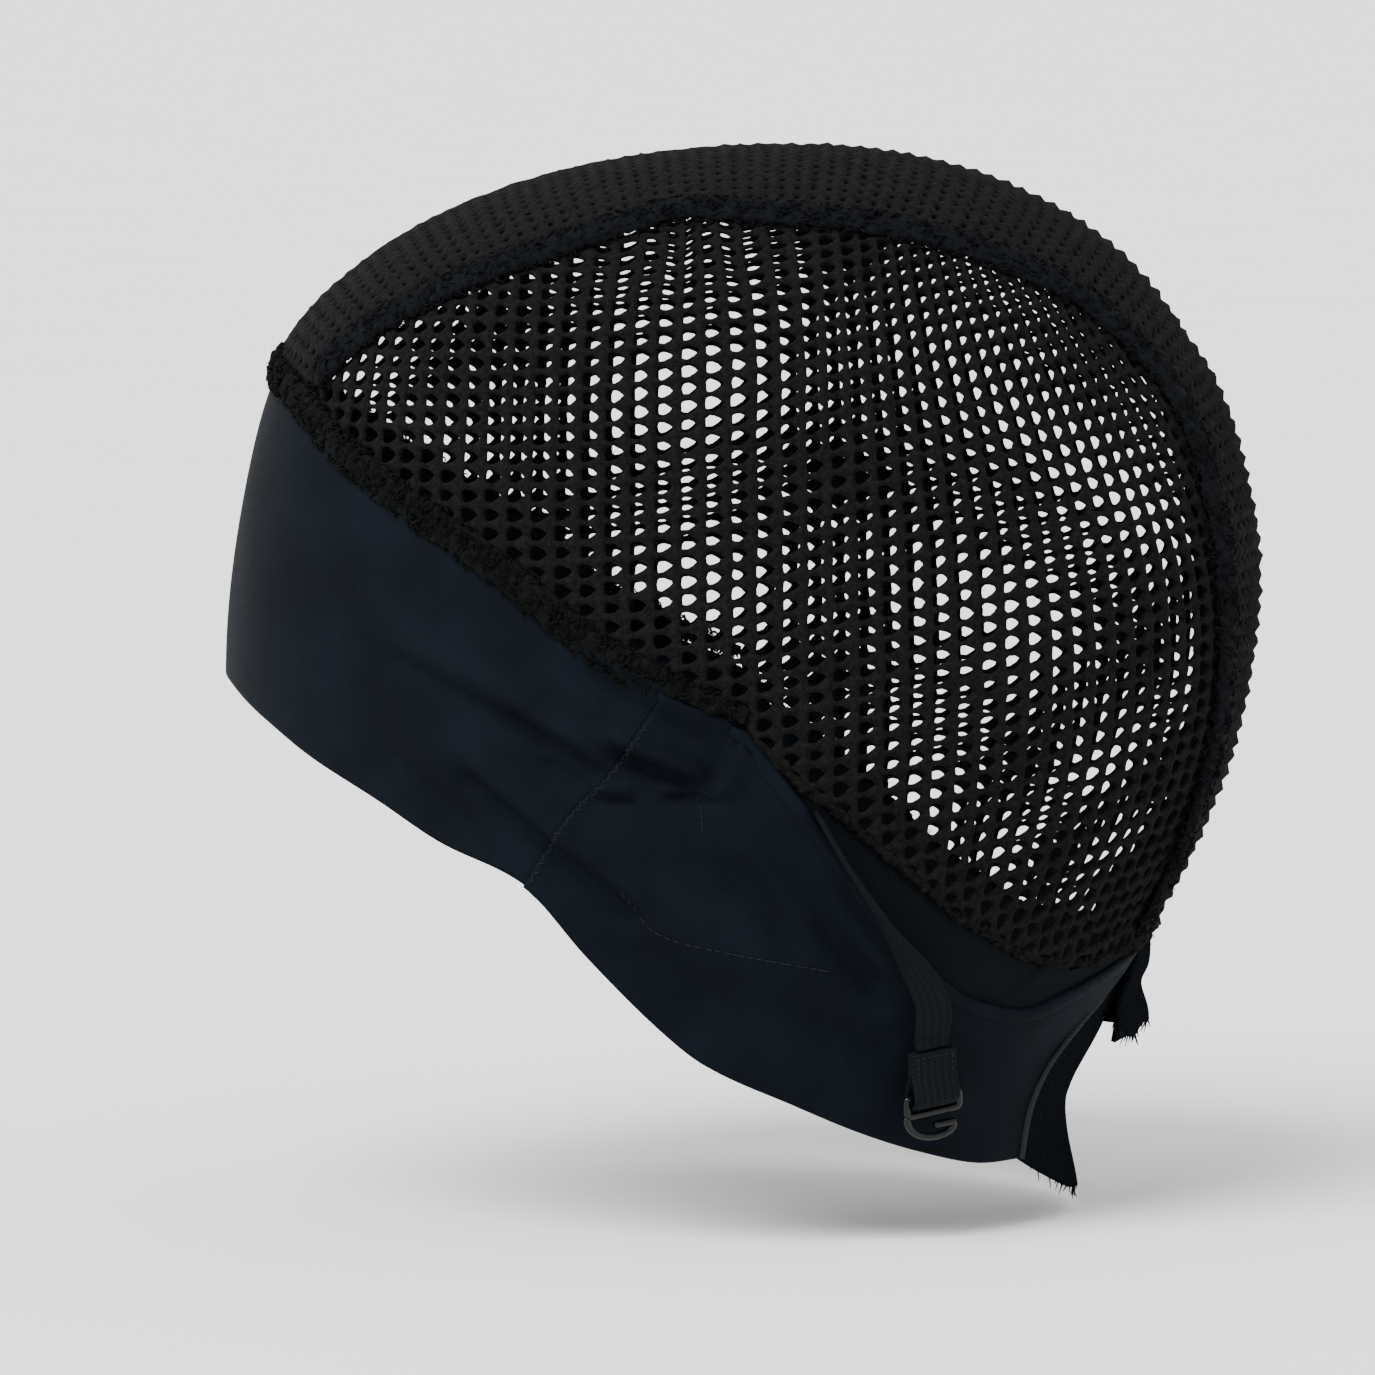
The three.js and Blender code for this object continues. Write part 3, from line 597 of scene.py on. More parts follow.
def floor_paint():
    """Pale matt floor with a trace of unevenness."""
    colour = bpy.context.scene.wig_cap_colour.floor
    made, tree, shader = new_material("floor_paint", colour, 0.9)
    uneven = noise_node(tree, place_node(tree, "Object"), 6, 2)
    vary_colour(tree, shader, uneven, [0.985 * c for c in colour], 1.015)
    return made


MATERIALS = {
    "satin_jersey": satin_jersey,
    "net_yarn": net_yarn,
    "hem_yarn": hem_yarn,
    "seam_yarn": seam_yarn,
    "flat_elastic": flat_elastic,
    "ribbed_elastic": ribbed_elastic,
    "hook_enamel": hook_enamel,
    "velvet_pile": velvet_pile,
    "piping_cloth": piping_cloth,
    "thread": thread,
    "floor_paint": floor_paint,
}


def material(name):
    return bpy.data.materials.get(name) or MATERIALS[name]()


# Mesh tools.
def shares_grid(columns, rows, size):
    """A flat grid over shares from 0 to 1 each way, with its chart in metres."""
    bm = bmesh.new()
    chart = bm.loops.layers.uv.new("chart")
    middle = Matrix.Translation((0.5, 0.5, 0.0))
    bmesh.ops.create_grid(bm, x_segments=columns, y_segments=rows, size=0.5, matrix=middle)
    for face in bm.faces:
        for loop in face.loops:
            loop[chart].uv = (loop.vert.co.x * size[0], loop.vert.co.y * size[1])
    return bm


def coordinates(bm):
    return np.array([vert.co for vert in bm.verts])


def move_to(bm, points):
    for vert, point in zip(bm.verts, points):
        vert.co = point


def face_outwards(bm):
    """An open cloth shows its face to the outside of the head."""
    middle = Vector(HEAD_CENTRE)
    outward = sum(
        face.normal.dot(face.calc_center_median() - middle) * face.calc_area() for face in bm.faces
    )
    if outward < 0:
        bmesh.ops.reverse_faces(bm, faces=bm.faces[:])
    bm.normal_update()


def make_piece(name, bm, finish, nodes):
    """The shape becomes a piece that stands for its CAD nodes."""
    mesh = bpy.data.meshes.new(name)
    bm.normal_update()
    bm.to_mesh(mesh)
    bm.free()
    mesh.shade_smooth()
    mesh.materials.append(material(finish))
    piece = bpy.data.objects.new(name, mesh)
    bpy.context.scene.collection.objects.link(piece)
    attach(piece, "root")
    if nodes:
        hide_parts(*nodes)
    return piece


def mirrored(piece, name, nodes):
    """The right side's copy of a left piece."""
    bm = bmesh.new()
    bm.from_mesh(piece.data)
    bmesh.ops.scale(bm, vec=(-1, 1, 1), verts=bm.verts[:])
    bmesh.ops.reverse_faces(bm, faces=bm.faces[:])
    return make_piece(name, bm, piece.data.materials[0].name, nodes)


def add_wall(piece, thickness):
    """Cloth gets its thickness inwards from its face."""
    wall = piece.modifiers.new("Wall", "SOLIDIFY")
    wall.thickness = thickness
    wall.offset = -1
    wall.use_even_offset = False


def lay_cloth(columns, rows, size, place, lift):
    """A cloth over shares u and v: place gives its points on the head and lift their height."""
    bm = shares_grid(columns, rows, size)
    shares = coordinates(bm)
    u, v = shares[:, 0], shares[:, 1]
    points = place(u, v)
    move_to(bm, raised(points, lift(u, v, points)))
    bm.normal_update()
    face_outwards(bm)
    return bm


def sweep(centres, across, out, width, height, sides, squareness=2.0, ring=False):
    """A bar along centres: across and out are its section's directions at each of them."""
    steps = len(centres) - 1
    length = np.concatenate([[0], np.cumsum(np.linalg.norm(np.diff(centres, axis=0), axis=1))])
    perimeter = float(np.mean(2 * (np.asarray(width) + np.asarray(height))))
    bm = shares_grid(steps, sides, (length[-1], perimeter))
    shares = coordinates(bm)
    i = np.rint(shares[:, 0] * steps).astype(int)
    angle = 2 * np.pi * shares[:, 1]
    power = 2 / squareness
    side = np.sign(np.cos(angle)) * np.abs(np.cos(angle)) ** power
    rise = np.sign(np.sin(angle)) * np.abs(np.sin(angle)) ** power
    widths = np.broadcast_to(np.asarray(width, float), len(centres))[i]
    heights = np.broadcast_to(np.asarray(height, float), len(centres))[i]
    points = centres[i] + across[i] * (side * widths / 2)[:, None]
    move_to(bm, points + out[i] * (rise * heights / 2)[:, None])
    bmesh.ops.remove_doubles(bm, verts=bm.verts[:], dist=0.002 * MM)
    if not ring:
        rims = [edge for edge in bm.edges if edge.is_boundary]
        bmesh.ops.edgeloop_fill(bm, edges=rims)
    bmesh.ops.recalc_face_normals(bm, faces=bm.faces[:])
    return bm


def join(bm, other):
    """Adds another shape to the first, and frees it."""
    mesh = bpy.data.meshes.new("joined")
    other.to_mesh(mesh)
    other.free()
    bm.from_mesh(mesh)
    bpy.data.meshes.remove(mesh)
    return bm


def scatter(bm, matrices):
    """One copy of the shape at each place: it is doubled until there are enough."""
    pattern = coordinates(bm)
    corner = bm.verts.layers.int.new("corner")
    copy = bm.verts.layers.int.new("copy")
    for k, vert in enumerate(bm.verts):
        vert[corner] = k
    copies = 1
    while copies < len(matrices):
        made = bmesh.ops.duplicate(bm, geom=bm.verts[:] + bm.edges[:] + bm.faces[:])["geom"]
        for vert in made:
            if isinstance(vert, bmesh.types.BMVert):
                vert[copy] += copies
        copies *= 2
    spare = [vert for vert in bm.verts if vert[copy] >= len(matrices)]
    bmesh.ops.delete(bm, geom=spare, context="VERTS")
    for vert in bm.verts:
        vert.co = matrices[vert[copy]] @ Vector(pattern[vert[corner]])
    bm.verts.layers.int.remove(corner)
    bm.verts.layers.int.remove(bm.verts.layers.int["copy"])
    return bm


def basis(x_axis, z_axis, place):
    """A turn and a place: x_axis and z_axis are where the pattern's X and Z go."""
    x_axis = Vector(x_axis).normalized()
    y_axis = Vector(z_axis).cross(x_axis).normalized()
    z_axis = x_axis.cross(y_axis)
    matrix = Matrix((x_axis, y_axis, z_axis)).transposed().to_4x4()
    return Matrix.Translation(Vector(place)) @ matrix


def route_frame(route, t, base=0.0):
    """Points of a route on the head, with its directions along, out and across."""
    step = 0.004
    points = route(t)
    along = unit(route(np.minimum(t + step, 1)) - route(np.maximum(t - step, 0)))
    out = head_normal(points)
    across = unit(np.cross(along, out))
    return points + out * base, along, out, across


def route_length(route):
    points = route(np.linspace(0, 1, 200))
    return float(np.linalg.norm(np.diff(points, axis=0), axis=1).sum())


# Routes on the head, by shares of their length.
def crown_seam_route(t):
    arc = lerp(29.5, 220.0, np.asarray(t, float))
    return at_arc(arc, seam_offset(arc))


def hem_route(t):
    turn = lerp(-90.0, 90.0, np.asarray(t, float))
    half = bpy.context.scene.wig_cap_trim.hem_width / 2
    return at_turn(turn, edge_drop(HEM_LINE, turn) - half / CAP_DROP)


def flap_edge_route(t):
    turn = lerp(88.2, 162.0, np.asarray(t, float))
    shift = bpy.context.scene.wig_cap_trim.edge_width / 3
    tucked = 0.004 * np.maximum(91 - turn, 0)
    return at_turn(turn, edge_drop(FLAP_LINE, turn) + shift / CAP_DROP - tucked)


def piping_route(t):
    drop = lerp(NAPE_SEAM[0]["drop"] + 0.004, NAPE_SEAM[-1]["drop"], np.asarray(t, float))
    return at_turn(look_up(NAPE_SEAM, "drop", "turn", drop), drop)


# The knitted net.
class SideChart:
    """Finds turns and drops from lengths round the head and up its side."""

    EAR_DROP = 0.5
    KINK = (-0.009, 0.086)
    KINK_REACH = 0.017
    LEAN_BACK = 5.0
    LEAN_FRONT = 1.0
    RISE = [
        dict(along=-0.09, rise=0.0),
        dict(along=-0.05, rise=0.0),
        dict(along=-0.025, rise=0.001),
        dict(along=0.0, rise=0.004),
        dict(along=0.03, rise=0.0085),
        dict(along=0.06, rise=0.0135),
        dict(along=0.1, rise=0.02),
    ]

    def __init__(self):
        drops = np.linspace(0.015, 0.9, 60)
        turns = np.linspace(0, 180, 181)
        grid = at_turn(np.tile(turns, len(drops)), np.repeat(drops, len(turns)))
        grid = grid.reshape(len(drops), len(turns), 3)
        steps = np.linalg.norm(np.diff(grid, axis=1), axis=2)
        lengths = np.concatenate([np.zeros((len(drops), 1)), np.cumsum(steps, axis=1)], axis=1)
        lengths -= lengths[:, [90]]
        self.drops = drops
        self.alongs = np.linspace(-0.13, 0.13, 261)
        self.turns = np.stack([np.interp(self.alongs, row, turns) for row in lengths])
        profile = np.linalg.norm(np.diff(grid[:, 90], axis=0), axis=1)
        fall = np.concatenate([[0], np.cumsum(profile)])
        self.heights = np.interp(self.EAR_DROP, drops, fall) - fall

    def turn_drop(self, along, height):
        away = np.hypot(along - self.KINK[0], height - self.KINK[1])
        pull = np.exp(-((away / self.KINK_REACH) ** 2))
        along = along - 0.35 * pull * (along - self.KINK[0])
        height = height + 1.6 * MM * pull * np.sin((along - self.KINK[0]) / (2 * MM))
        height = height + look_up(self.RISE, "along", "rise", along)
        lean = np.where(along > 0, self.LEAN_BACK, -self.LEAN_FRONT) * (along / 0.06) ** 2
        slowed = np.sqrt((1 + (height / 0.08) ** 4) * (1 + (along / 0.075) ** 2))
        along = along - lean * height**2 / slowed
        drop = np.interp(-height, -self.heights, self.drops)
        level = np.interp(drop, self.drops, np.arange(len(self.drops)))
        place = np.interp(along, self.alongs, np.arange(len(self.alongs)))
        i = np.minimum(level.astype(int), len(self.drops) - 2)
        j = np.minimum(place.astype(int), len(self.alongs) - 2)
        f, g = level - i, place - j
        low = lerp(self.turns[i, j], self.turns[i, j + 1], g)
        high = lerp(self.turns[i + 1, j], self.turns[i + 1, j + 1], g)
        return lerp(low, high, f), drop


class SideNet:
    """The lattice of the left side's net."""

    COLUMNS, ROWS, GAP_SIDES, GAP_SIZE = 56, 58, 16, 1.0
    ORIGIN = (0.006, 0.019)

    def __init__(self):
        self.chart = SideChart()
        self.pitch = bpy.context.scene.wig_cap_net

    def turn_drop(self, flat):
        along = flat[:, 0] * self.pitch.column_pitch + self.ORIGIN[0]
        height = flat[:, 1] * self.pitch.row_pitch + self.ORIGIN[1]
        return self.chart.turn_drop(along, height)

    def place(self, flat):
        return at_turn(*self.turn_drop(flat))

    def knot(self, along):
        return 1.3

    def inside(self, flat):
        """Over 0 between the crown seam and the lower edges, in metres."""
        turn, drop = self.turn_drop(flat)
        points = at_turn(turn, drop)
        from_seam = points[:, 0] - seam_offset(arc_of(points)) - 0.8 * MM
        hem = edge_drop(HEM_LINE, turn) - (TUCK + JOIN_GAP) / CAP_DROP
        edge = np.where(turn < 90, hem, edge_drop(NET_EDGE, turn) + EDGE_OVERLAP / CAP_DROP)
        return np.minimum(from_seam, (edge - drop) * CAP_DROP)


class CrownNet:
    """The lattice of the strip between the crown seams."""

    COLUMNS, ROWS, GAP_SIDES, GAP_SIZE = 108, 32, 8, 0.52
    ACROSS = 3.6 * MM

    def __init__(self):
        self.pitch = bpy.context.scene.wig_cap_net
        self.arcs = np.linspace(20, 225, 206)
        middle = at_arc(self.arcs, 0.0)
        steps = np.linalg.norm(np.diff(middle, axis=0), axis=1)
        lengths = np.concatenate([[0], np.cumsum(steps)])
        self.lengths = lengths - np.interp(120, self.arcs, lengths)
        self.offsets = np.linspace(0, 0.06, 61)
        section = at_arc(90.0, self.offsets)
        self.girths = np.concatenate(
            [[0], np.cumsum(np.linalg.norm(np.diff(section, axis=0), axis=1))]
        )
        self.front = float(arc_of(at_turn(np.array([0.0]), HEM_LINE[0]["drop"] - 0.014))[0])
        self.back = float(arc_of(at_turn(np.array([180.0]), NET_EDGE[-1]["drop"] + 0.008))[0])

    def arc_offset(self, flat):
        arc = np.interp(flat[:, 0] * self.pitch.crown_pitch, self.lengths, self.arcs)
        girth = flat[:, 1] * self.ACROSS
        offset = np.sign(girth) * np.interp(np.abs(girth), self.girths, self.offsets)
        return arc, offset

    def place(self, flat):
        return at_arc(*self.arc_offset(flat))

    def knot(self, along):
        """Knots stand out on the back of the head and lie flat over the forehead."""
        return lerp(1.0, 1.65, smooth_step(along * self.pitch.crown_pitch, -0.07, 0.03))

    def inside(self, flat):
        arc, offset = self.arc_offset(flat)
        from_seam = seam_offset(arc) - 0.8 * MM - np.abs(offset)
        from_end = np.radians(np.minimum(arc - self.front, self.back - arc)) * FRONT_REACH
        return np.minimum(from_seam, from_end)


def cut_lattice(bm, inside):
    """Cells outside the net go, and corners outside it are drawn in to its edge."""
    kept = dict(zip(bm.verts, inside(coordinates(bm)[:, :2]) > 0))
    outside = [face for face in bm.faces if not any(kept[v] for v in face.verts)]
    bmesh.ops.delete(bm, geom=outside, context="FACES")
    drawn = [vert for vert in bm.verts if not kept[vert]]
    anchors = []
    for vert in drawn:
        near = [v for face in vert.link_faces for v in face.verts if kept[v]]
        anchors.append(min(near, key=lambda v: (v.co - vert.co).length).co[:2])
    start = np.array([vert.co[:2] for vert in drawn])
    low, high = np.zeros(len(drawn)), np.ones(len(drawn))
    anchors = np.array(anchors)
    for _ in range(12):
        middle = (low + high) / 2
        within = inside(anchors + (start - anchors) * middle[:, None]) > 0
        low, high = np.where(within, middle, low), np.where(within, high, middle)
    for vert, place in zip(drawn, anchors + (start - anchors) * low[:, None]):
        vert.co.x, vert.co.y = place


GAP_POINT = 0.7
GAP_NOTCH = 0.18
OPEN_SHARE = 0.42
RIM_JITTER = 0.012


def gap_outline(angle, length, height):
    """A teardrop whose tip is at angle 0 and whose blunt end has a slight notch."""
    notch = GAP_NOTCH * np.maximum(0, -np.cos(angle)) ** 8
    across = np.cos(angle) + notch
    up = np.sin(angle) * np.abs(np.sin(angle / 2)) ** GAP_POINT / 0.82
    return across * length, up * height


def cell_box(face):
    """The middle of a cell and half its length and height."""
    xs = [vert.co.x for vert in face.verts]
    ys = [vert.co.y for vert in face.verts]
    middle = ((min(xs) + max(xs)) / 2, (min(ys) + max(ys)) / 2)
    return middle, (max(xs) - min(xs)) / 2, (max(ys) - min(ys)) / 2


def open_gaps(bm, cells, half, gap_size, draw):
    """Each cell gets a teardrop gap, its strands rounded off towards the rim."""
    net = bpy.context.scene.wig_cap_net
    boxes = [cell_box(face) for face in cells]
    scales = [gap_size + net.unevenness * draw.normal() for _ in cells]
    skews = [0.05 * draw.normal() for _ in cells]
    for spread, height in ((1.2, 0.62 * half), (1.0, 0.0)):
        bmesh.ops.inset_individual(bm, faces=cells, thickness=0.02)
        for face, box, scale, skew in zip(cells, boxes, scales, skews):
            size = scale * spread
            place_ring(face, box, net.gap_length * size, net.gap_height * size, skew, height, draw)
    bmesh.ops.delete(bm, geom=cells, context="FACES")


def place_ring(face, box, length, height, skew, level, draw):
    """A cell's ring of corners takes the gap's outline at a level."""
    middle, half_length, half_height = box
    for vert in face.verts:
        x, y = vert.co.x - middle[0], vert.co.y - middle[1]
        angle = math.atan2(y / half_height, x / half_length)
        across, up = gap_outline(angle, min(length, 0.93), min(height, 0.93))
        vert.co.x = middle[0] + across * half_length
        vert.co.y = middle[1] + (up + skew * across) * half_height
        vert.co.z = level
        vert.co.xy = [at + RIM_JITTER * draw.normal() for at in vert.co.xy]


def raise_strands(bm, net, half, draw):
    """Wales run up the net and rungs across it; both swell where they meet."""
    for vert in bm.verts:
        if vert.is_boundary:
            continue
        on_wale = abs(vert.co.x - round(vert.co.x)) < 0.02
        on_rung = abs(vert.co.y - round(vert.co.y)) < 0.02
        swell = net.knot(vert.co.x) if on_wale and on_rung else 1.02 if on_wale else 0.84
        vert.co.z = half * swell * (1 + 0.12 * draw.normal())
        vert.co.x += 0.018 * draw.normal()
        vert.co.y += 0.02 * draw.normal()


def over_elastic(points):
    """The net's lower edge lies over the elastic behind the ear."""
    turn, drop = turn_of(points), -points[:, 2] / CAP_DROP
    from_edge = (edge_drop(NET_EDGE, np.maximum(turn, 90)) - drop) * CAP_DROP
    return 1.1 * MM * (1 - smooth_step(from_edge, 1 * MM, 5 * MM)) * smooth_step(turn, 88, 94)


def knit(net, seed):
    """The net's strands, flat first and then laid on the head."""
    draw = np.random.default_rng(seed)
    half = bpy.context.scene.wig_cap_net.strand / 2 * (1.2 if net.GAP_SIZE < 1 else 1)
    bm = bmesh.new()
    chart = bm.loops.layers.uv.new("chart")
    bmesh.ops.create_grid(bm, x_segments=net.COLUMNS, y_segments=net.ROWS, size=0.5)
    bmesh.ops.scale(bm, vec=(net.COLUMNS, net.ROWS, 1), verts=bm.verts[:])
    cut_lattice(bm, net.inside)
    bmesh.ops.bisect_edges(bm, edges=bm.edges[:], cuts=net.GAP_SIDES // 4 - 1)
    cells = [face for face in bm.faces if face.calc_area() > OPEN_SHARE]
    closed = [face for face in bm.faces if face.calc_area() <= OPEN_SHARE]
    raise_strands(bm, net, half, draw)
    for vert in bmesh.ops.poke(bm, faces=closed)["verts"]:
        vert.co.z = max(vert.co.z, half / 2)
    open_gaps(bm, cells, half, net.GAP_SIZE, draw)
    everything = bm.verts[:] + bm.edges[:] + bm.faces[:]
    bmesh.ops.mirror(bm, geom=everything, axis="Z", merge_dist=1e-6)
    for face in bm.faces:
        for loop in face.loops:
            loop[chart].uv = loop.vert.co.xy
    flat = coordinates(bm)
    points = net.place(flat[:, :2])
    lift = CLOTH_WALL / 2 + flat[:, 2] + over_elastic(points)
    move_to(bm, raised(points, lift))
    bmesh.ops.recalc_face_normals(bm, faces=bm.faces[:])
    if bm.calc_volume(signed=True) < 0:
        bmesh.ops.reverse_faces(bm, faces=bm.faces[:])
    return bm


def make_nets():
    side = make_piece("net_side_left", knit(SideNet(), 5), "net_yarn", ["crown_side_left"])
    other = mirrored(side, "net_side_right", ["crown_side_right"])
    crown = make_piece("net_crown", knit(CrownNet(), 6), "net_yarn", ["crown_centre"])


# Rolled seams and the overlocked hem.
def roll_taper(t, length, run):
    """Rolls narrow towards their ends, over a run."""
    return lerp(0.42, 1, smooth_step(np.minimum(t, 1 - t) * length, 0, run))


def lumpy_roll(route, width, height, seed, run=3 * MM):
    """A soft roll with the ridges of overlocked yarn."""
    length = route_length(route)
    steps = int(length / (0.55 * MM))
    sides = 14
    t = np.linspace(0, 1, steps + 1)
    centres, _, out, across = route_frame(route, t, SECOND_LAYER - 0.5 * MM + height / 2)
    taper = roll_taper(t, length, run)
    bm = sweep(centres, across, out, width * taper, height * taper, sides)
    points = coordinates(bm)
    coarse = ripple(points, 3.0 * MM, seed)
    fine = ripple(points, 1.2 * MM, seed + 1)
    bm.normal_update()
    normals = np.array([vert.normal for vert in bm.verts])
    move_to(bm, points + normals * (0.5 * MM * coarse + 0.42 * MM * fine)[:, None])
    return bm


def yarn_loop(thickness):
    """Half a loop of yarn, drawn round Y with its feet on the cloth."""
    bm = bmesh.new()
    bmesh.ops.create_circle(
        bm,
        segments=4,
        radius=thickness / 2,
        cap_ends=False,
        matrix=Matrix.Translation((1.0 * MM, 0, 0)),
    )
    bmesh.ops.spin(
        bm,
        geom=bm.verts[:] + bm.edges[:],
        angle=-1.25 * math.pi,
        steps=5,
        axis=(0, 1, 0),
        cent=(0, 0, 0),
    )
    bmesh.ops.recalc_face_normals(bm, faces=bm.faces[:])
    return bm


def yarn_loops(route, width, height, seed, run=3 * MM):
    """Loose loops all over a roll."""
    trim = bpy.context.scene.wig_cap_trim
    draw = np.random.default_rng(seed)
    count = int(route_length(route) * 100 * trim.loops_per_cm)
    feet, along, normal = roll_spots(route, width, height, count, draw, run)
    matrices = []
    for k in range(count):
        lying = unit(along[k] + 0.9 * draw.normal(size=3))
        scale = Matrix.Diagonal((*draw.uniform(0.45, 1.15, 2), draw.uniform(0.4, 1.1), 1))
        matrices.append(basis(lying, normal[k], feet[k]) @ scale)
    return scatter(yarn_loop(trim.yarn), matrices)


def roll_spots(route, width, height, count, draw, run):
    """Random spots on a roll, with directions along it and out of it."""
    t = draw.uniform(0.003, 0.997, count)
    points, along, out, across = route_frame(route, t, SECOND_LAYER - 0.5 * MM)
    angle = draw.uniform(0.03, 0.97, (count, 1)) * np.pi
    normal = np.sin(angle) * out + np.cos(angle) * across
    taper = roll_taper(t, route_length(route), run)[:, None]
    rise = out * np.sin(angle) * height * 0.82 + across * np.cos(angle) * width / 2
    feet = points + rise * taper
    return feet, along, normal


def loose_fibres(route, width, height, seed, run=3 * MM):
    """Short fibres that stick out of a roll."""
    draw = np.random.default_rng(seed)
    count = int(route_length(route) / (0.2 * MM))
    feet, along, normal = roll_spots(route, width, height, count, draw, run)
    matrices = []
    for k in range(count):
        out = unit(normal[k] * draw.uniform(0.3, 1.2) + 0.7 * draw.normal(size=3))
        length = Matrix.Diagonal((1, 1, draw.uniform(0.5, 1.5), 1))
        matrices.append(basis(np.cross(out, along[k]), out, feet[k]) @ length)
    bm = bmesh.new()
    bmesh.ops.create_cone(
        bm, cap_ends=False, segments=3, radius1=0.1 * MM, radius2=0.03 * MM, depth=1.4 * MM
    )
    bmesh.ops.translate(bm, vec=(0, 0, 0.5 * MM), verts=bm.verts[:])
    return scatter(bm, matrices)


HEM_RUN = 26 * MM


def make_seams():
    trim = bpy.context.scene.wig_cap_trim
    size = (trim.seam_width, trim.seam_height)
    bm = lumpy_roll(crown_seam_route, *size, 11)
    join(bm, yarn_loops(crown_seam_route, *size, 12))
    join(bm, loose_fibres(crown_seam_route, *size, 15))
    left = make_piece("crown_seam_roll_left", bm, "seam_yarn", ["crown_seam_left"])
    mirrored(left, "crown_seam_roll_right", ["crown_seam_right"])
    size = (trim.hem_width, trim.hem_height)
    bm = lumpy_roll(hem_route, *size, 13, HEM_RUN)
    join(bm, yarn_loops(hem_route, *size, 14, HEM_RUN))
    join(bm, loose_fibres(hem_route, *size, 16, HEM_RUN))
    make_piece("net_hem_roll", bm, "hem_yarn", ["net_hem"])
    make_rear_edge()


def rear_edge_route(t):
    turn = lerp(91.0, 178.0, np.asarray(t, float))
    return at_turn(turn, edge_drop(NET_EDGE, turn) + 0.4 * EDGE_OVERLAP / CAP_DROP)


def make_rear_edge():
    """A thin ragged roll of yarn along the net's lower edge behind the ear."""
    size = (1.9 * MM, 1.3 * MM)
    bm = lumpy_roll(rear_edge_route, *size, 17)
    join(bm, loose_fibres(rear_edge_route, *size, 18))
    left = make_piece("net_rear_edge_left", bm, "net_yarn", [])
    mirrored(left, "net_rear_edge_right", [])


# Smooth cloth: the front band and the ear panels.
def seam_turn(rows, drop):
    return look_up(rows, "drop", "turn", drop)


def turn_of(points):
    return np.degrees(np.arctan2(np.abs(points[:, 0]), MIDDLE_Y - points[:, 1]))


def crease_lift(points):
    """How far creases push the cloth in or out."""
    turn, drop = turn_of(points), -points[:, 2] / CAP_DROP
    x = np.radians(turn) * HALF_BREADTH * 1.1
    y = drop * CAP_DROP
    total = np.zeros(len(points))
    for crease in CREASES:
        ax, bx = (math.radians(crease[k]) * HALF_BREADTH * 1.1 for k in ("turn", "end_turn"))
        ay, by = (crease[k] * CAP_DROP for k in ("drop", "end_drop"))
        span = math.hypot(bx - ax, by - ay)
        ux, uy = (bx - ax) / span, (by - ay) / span
        along = ((x - ax) * ux + (y - ay) * uy) / span
        off = (x - ax) * uy - (y - ay) * ux
        width = crease["width"] * MM
        reach = np.exp(-((np.clip(np.abs(along - 0.5) - 0.35, 0, None) / 0.16) ** 2))
        trough = np.exp(-((off / width) ** 2))
        shoulder = np.exp(-(((off - 1.9 * width) / width) ** 2))
        total += crease["depth"] * MM * reach * (0.9 * shoulder - 1.1 * trough)
    return total * bpy.context.scene.wig_cap_cloth.crease


CORNER_FOLD = [dict(drop=0.535, turn=89.6), dict(drop=0.598, turn=84.6)]


def corner_fold(turn, drop):
    """The flap's corner laps over a hollow of the cloth in front of the ear."""
    behind = turn - look_up(CORNER_FOLD, "drop", "turn", drop)
    hollow = np.exp(-((behind / np.where(behind < 0, 3.4, 0.8)) ** 2))
    lap = smooth_step(behind, 0, 1.2) * (1 - smooth_step(behind, 2, 8))
    return (0.8 * MM * lap - 1.5 * MM * hollow) * (1 - smooth_step(drop, 0.588, 0.604))


def soft_waves(points):
    """Faint unevenness of worn cloth."""
    return 0.12 * MM * ripple(points, 26 * MM, 31)


def band_place(u, v):
    side = 2 * u - 1

    def drop(share):
        low = edge_drop(LOWER_EDGE, share * SIDE_SEAM[-1]["turn"])
        high = edge_drop(HEM_LINE, share * SIDE_SEAM[0]["turn"]) - TUCK / CAP_DROP
        return lerp(low, high, v)

    return at_turn(side * (seam_turn(SIDE_SEAM, drop(1.0)) - 0.1), drop(side))


def band_lift(u, v, points):
    return CLOTH_WALL + crease_lift(points) + soft_waves(points)




def panel_top_drop(turn):
    trim = bpy.context.scene.wig_cap_trim
    flap = edge_drop(FLAP_LINE, turn) + 0.3 * trim.edge_width / CAP_DROP
    hem = edge_drop(HEM_LINE, turn) - 1 * MM / CAP_DROP
    return lerp(hem, flap, smooth_step(turn, 88.6, 90.2))


def panel_place(u, v):
    def drop(share):
        low = edge_drop(LOWER_EDGE, lerp(60.0, 147.0, share))
        return lerp(low, panel_top_drop(lerp(79.0, 164.0, share)), v)

    front = seam_turn(SIDE_SEAM, drop(0.0)) - 0.5
    back = seam_turn(NAPE_SEAM, drop(1.0)) - 0.3
    return at_turn(lerp(front, back, u), drop(u))


def panel_lift(u, v, points):
    """The flap rises over the under band, and its corner stands off at the ear."""
    turn, drop = turn_of(points), -points[:, 2] / CAP_DROP
    flap = edge_drop(FLAP_LINE, np.clip(turn, 90, 164))
    below_edge = (drop - flap) * CAP_DROP
    near_edge = 1 - smooth_step(below_edge, 2 * MM, 13 * MM)
    behind_ear = smooth_step(turn, 84.5, 89.5)
    over_band = 1 - smooth_step(turn - seam_turn(SIDE_SEAM, drop), 0.4, 2.2)
    extra = SECOND_LAYER * near_edge * behind_ear + 0.3 * MM * over_band
    extra += corner_fold(turn, drop)
    return CLOTH_WALL + crease_lift(points) + soft_waves(points) + extra


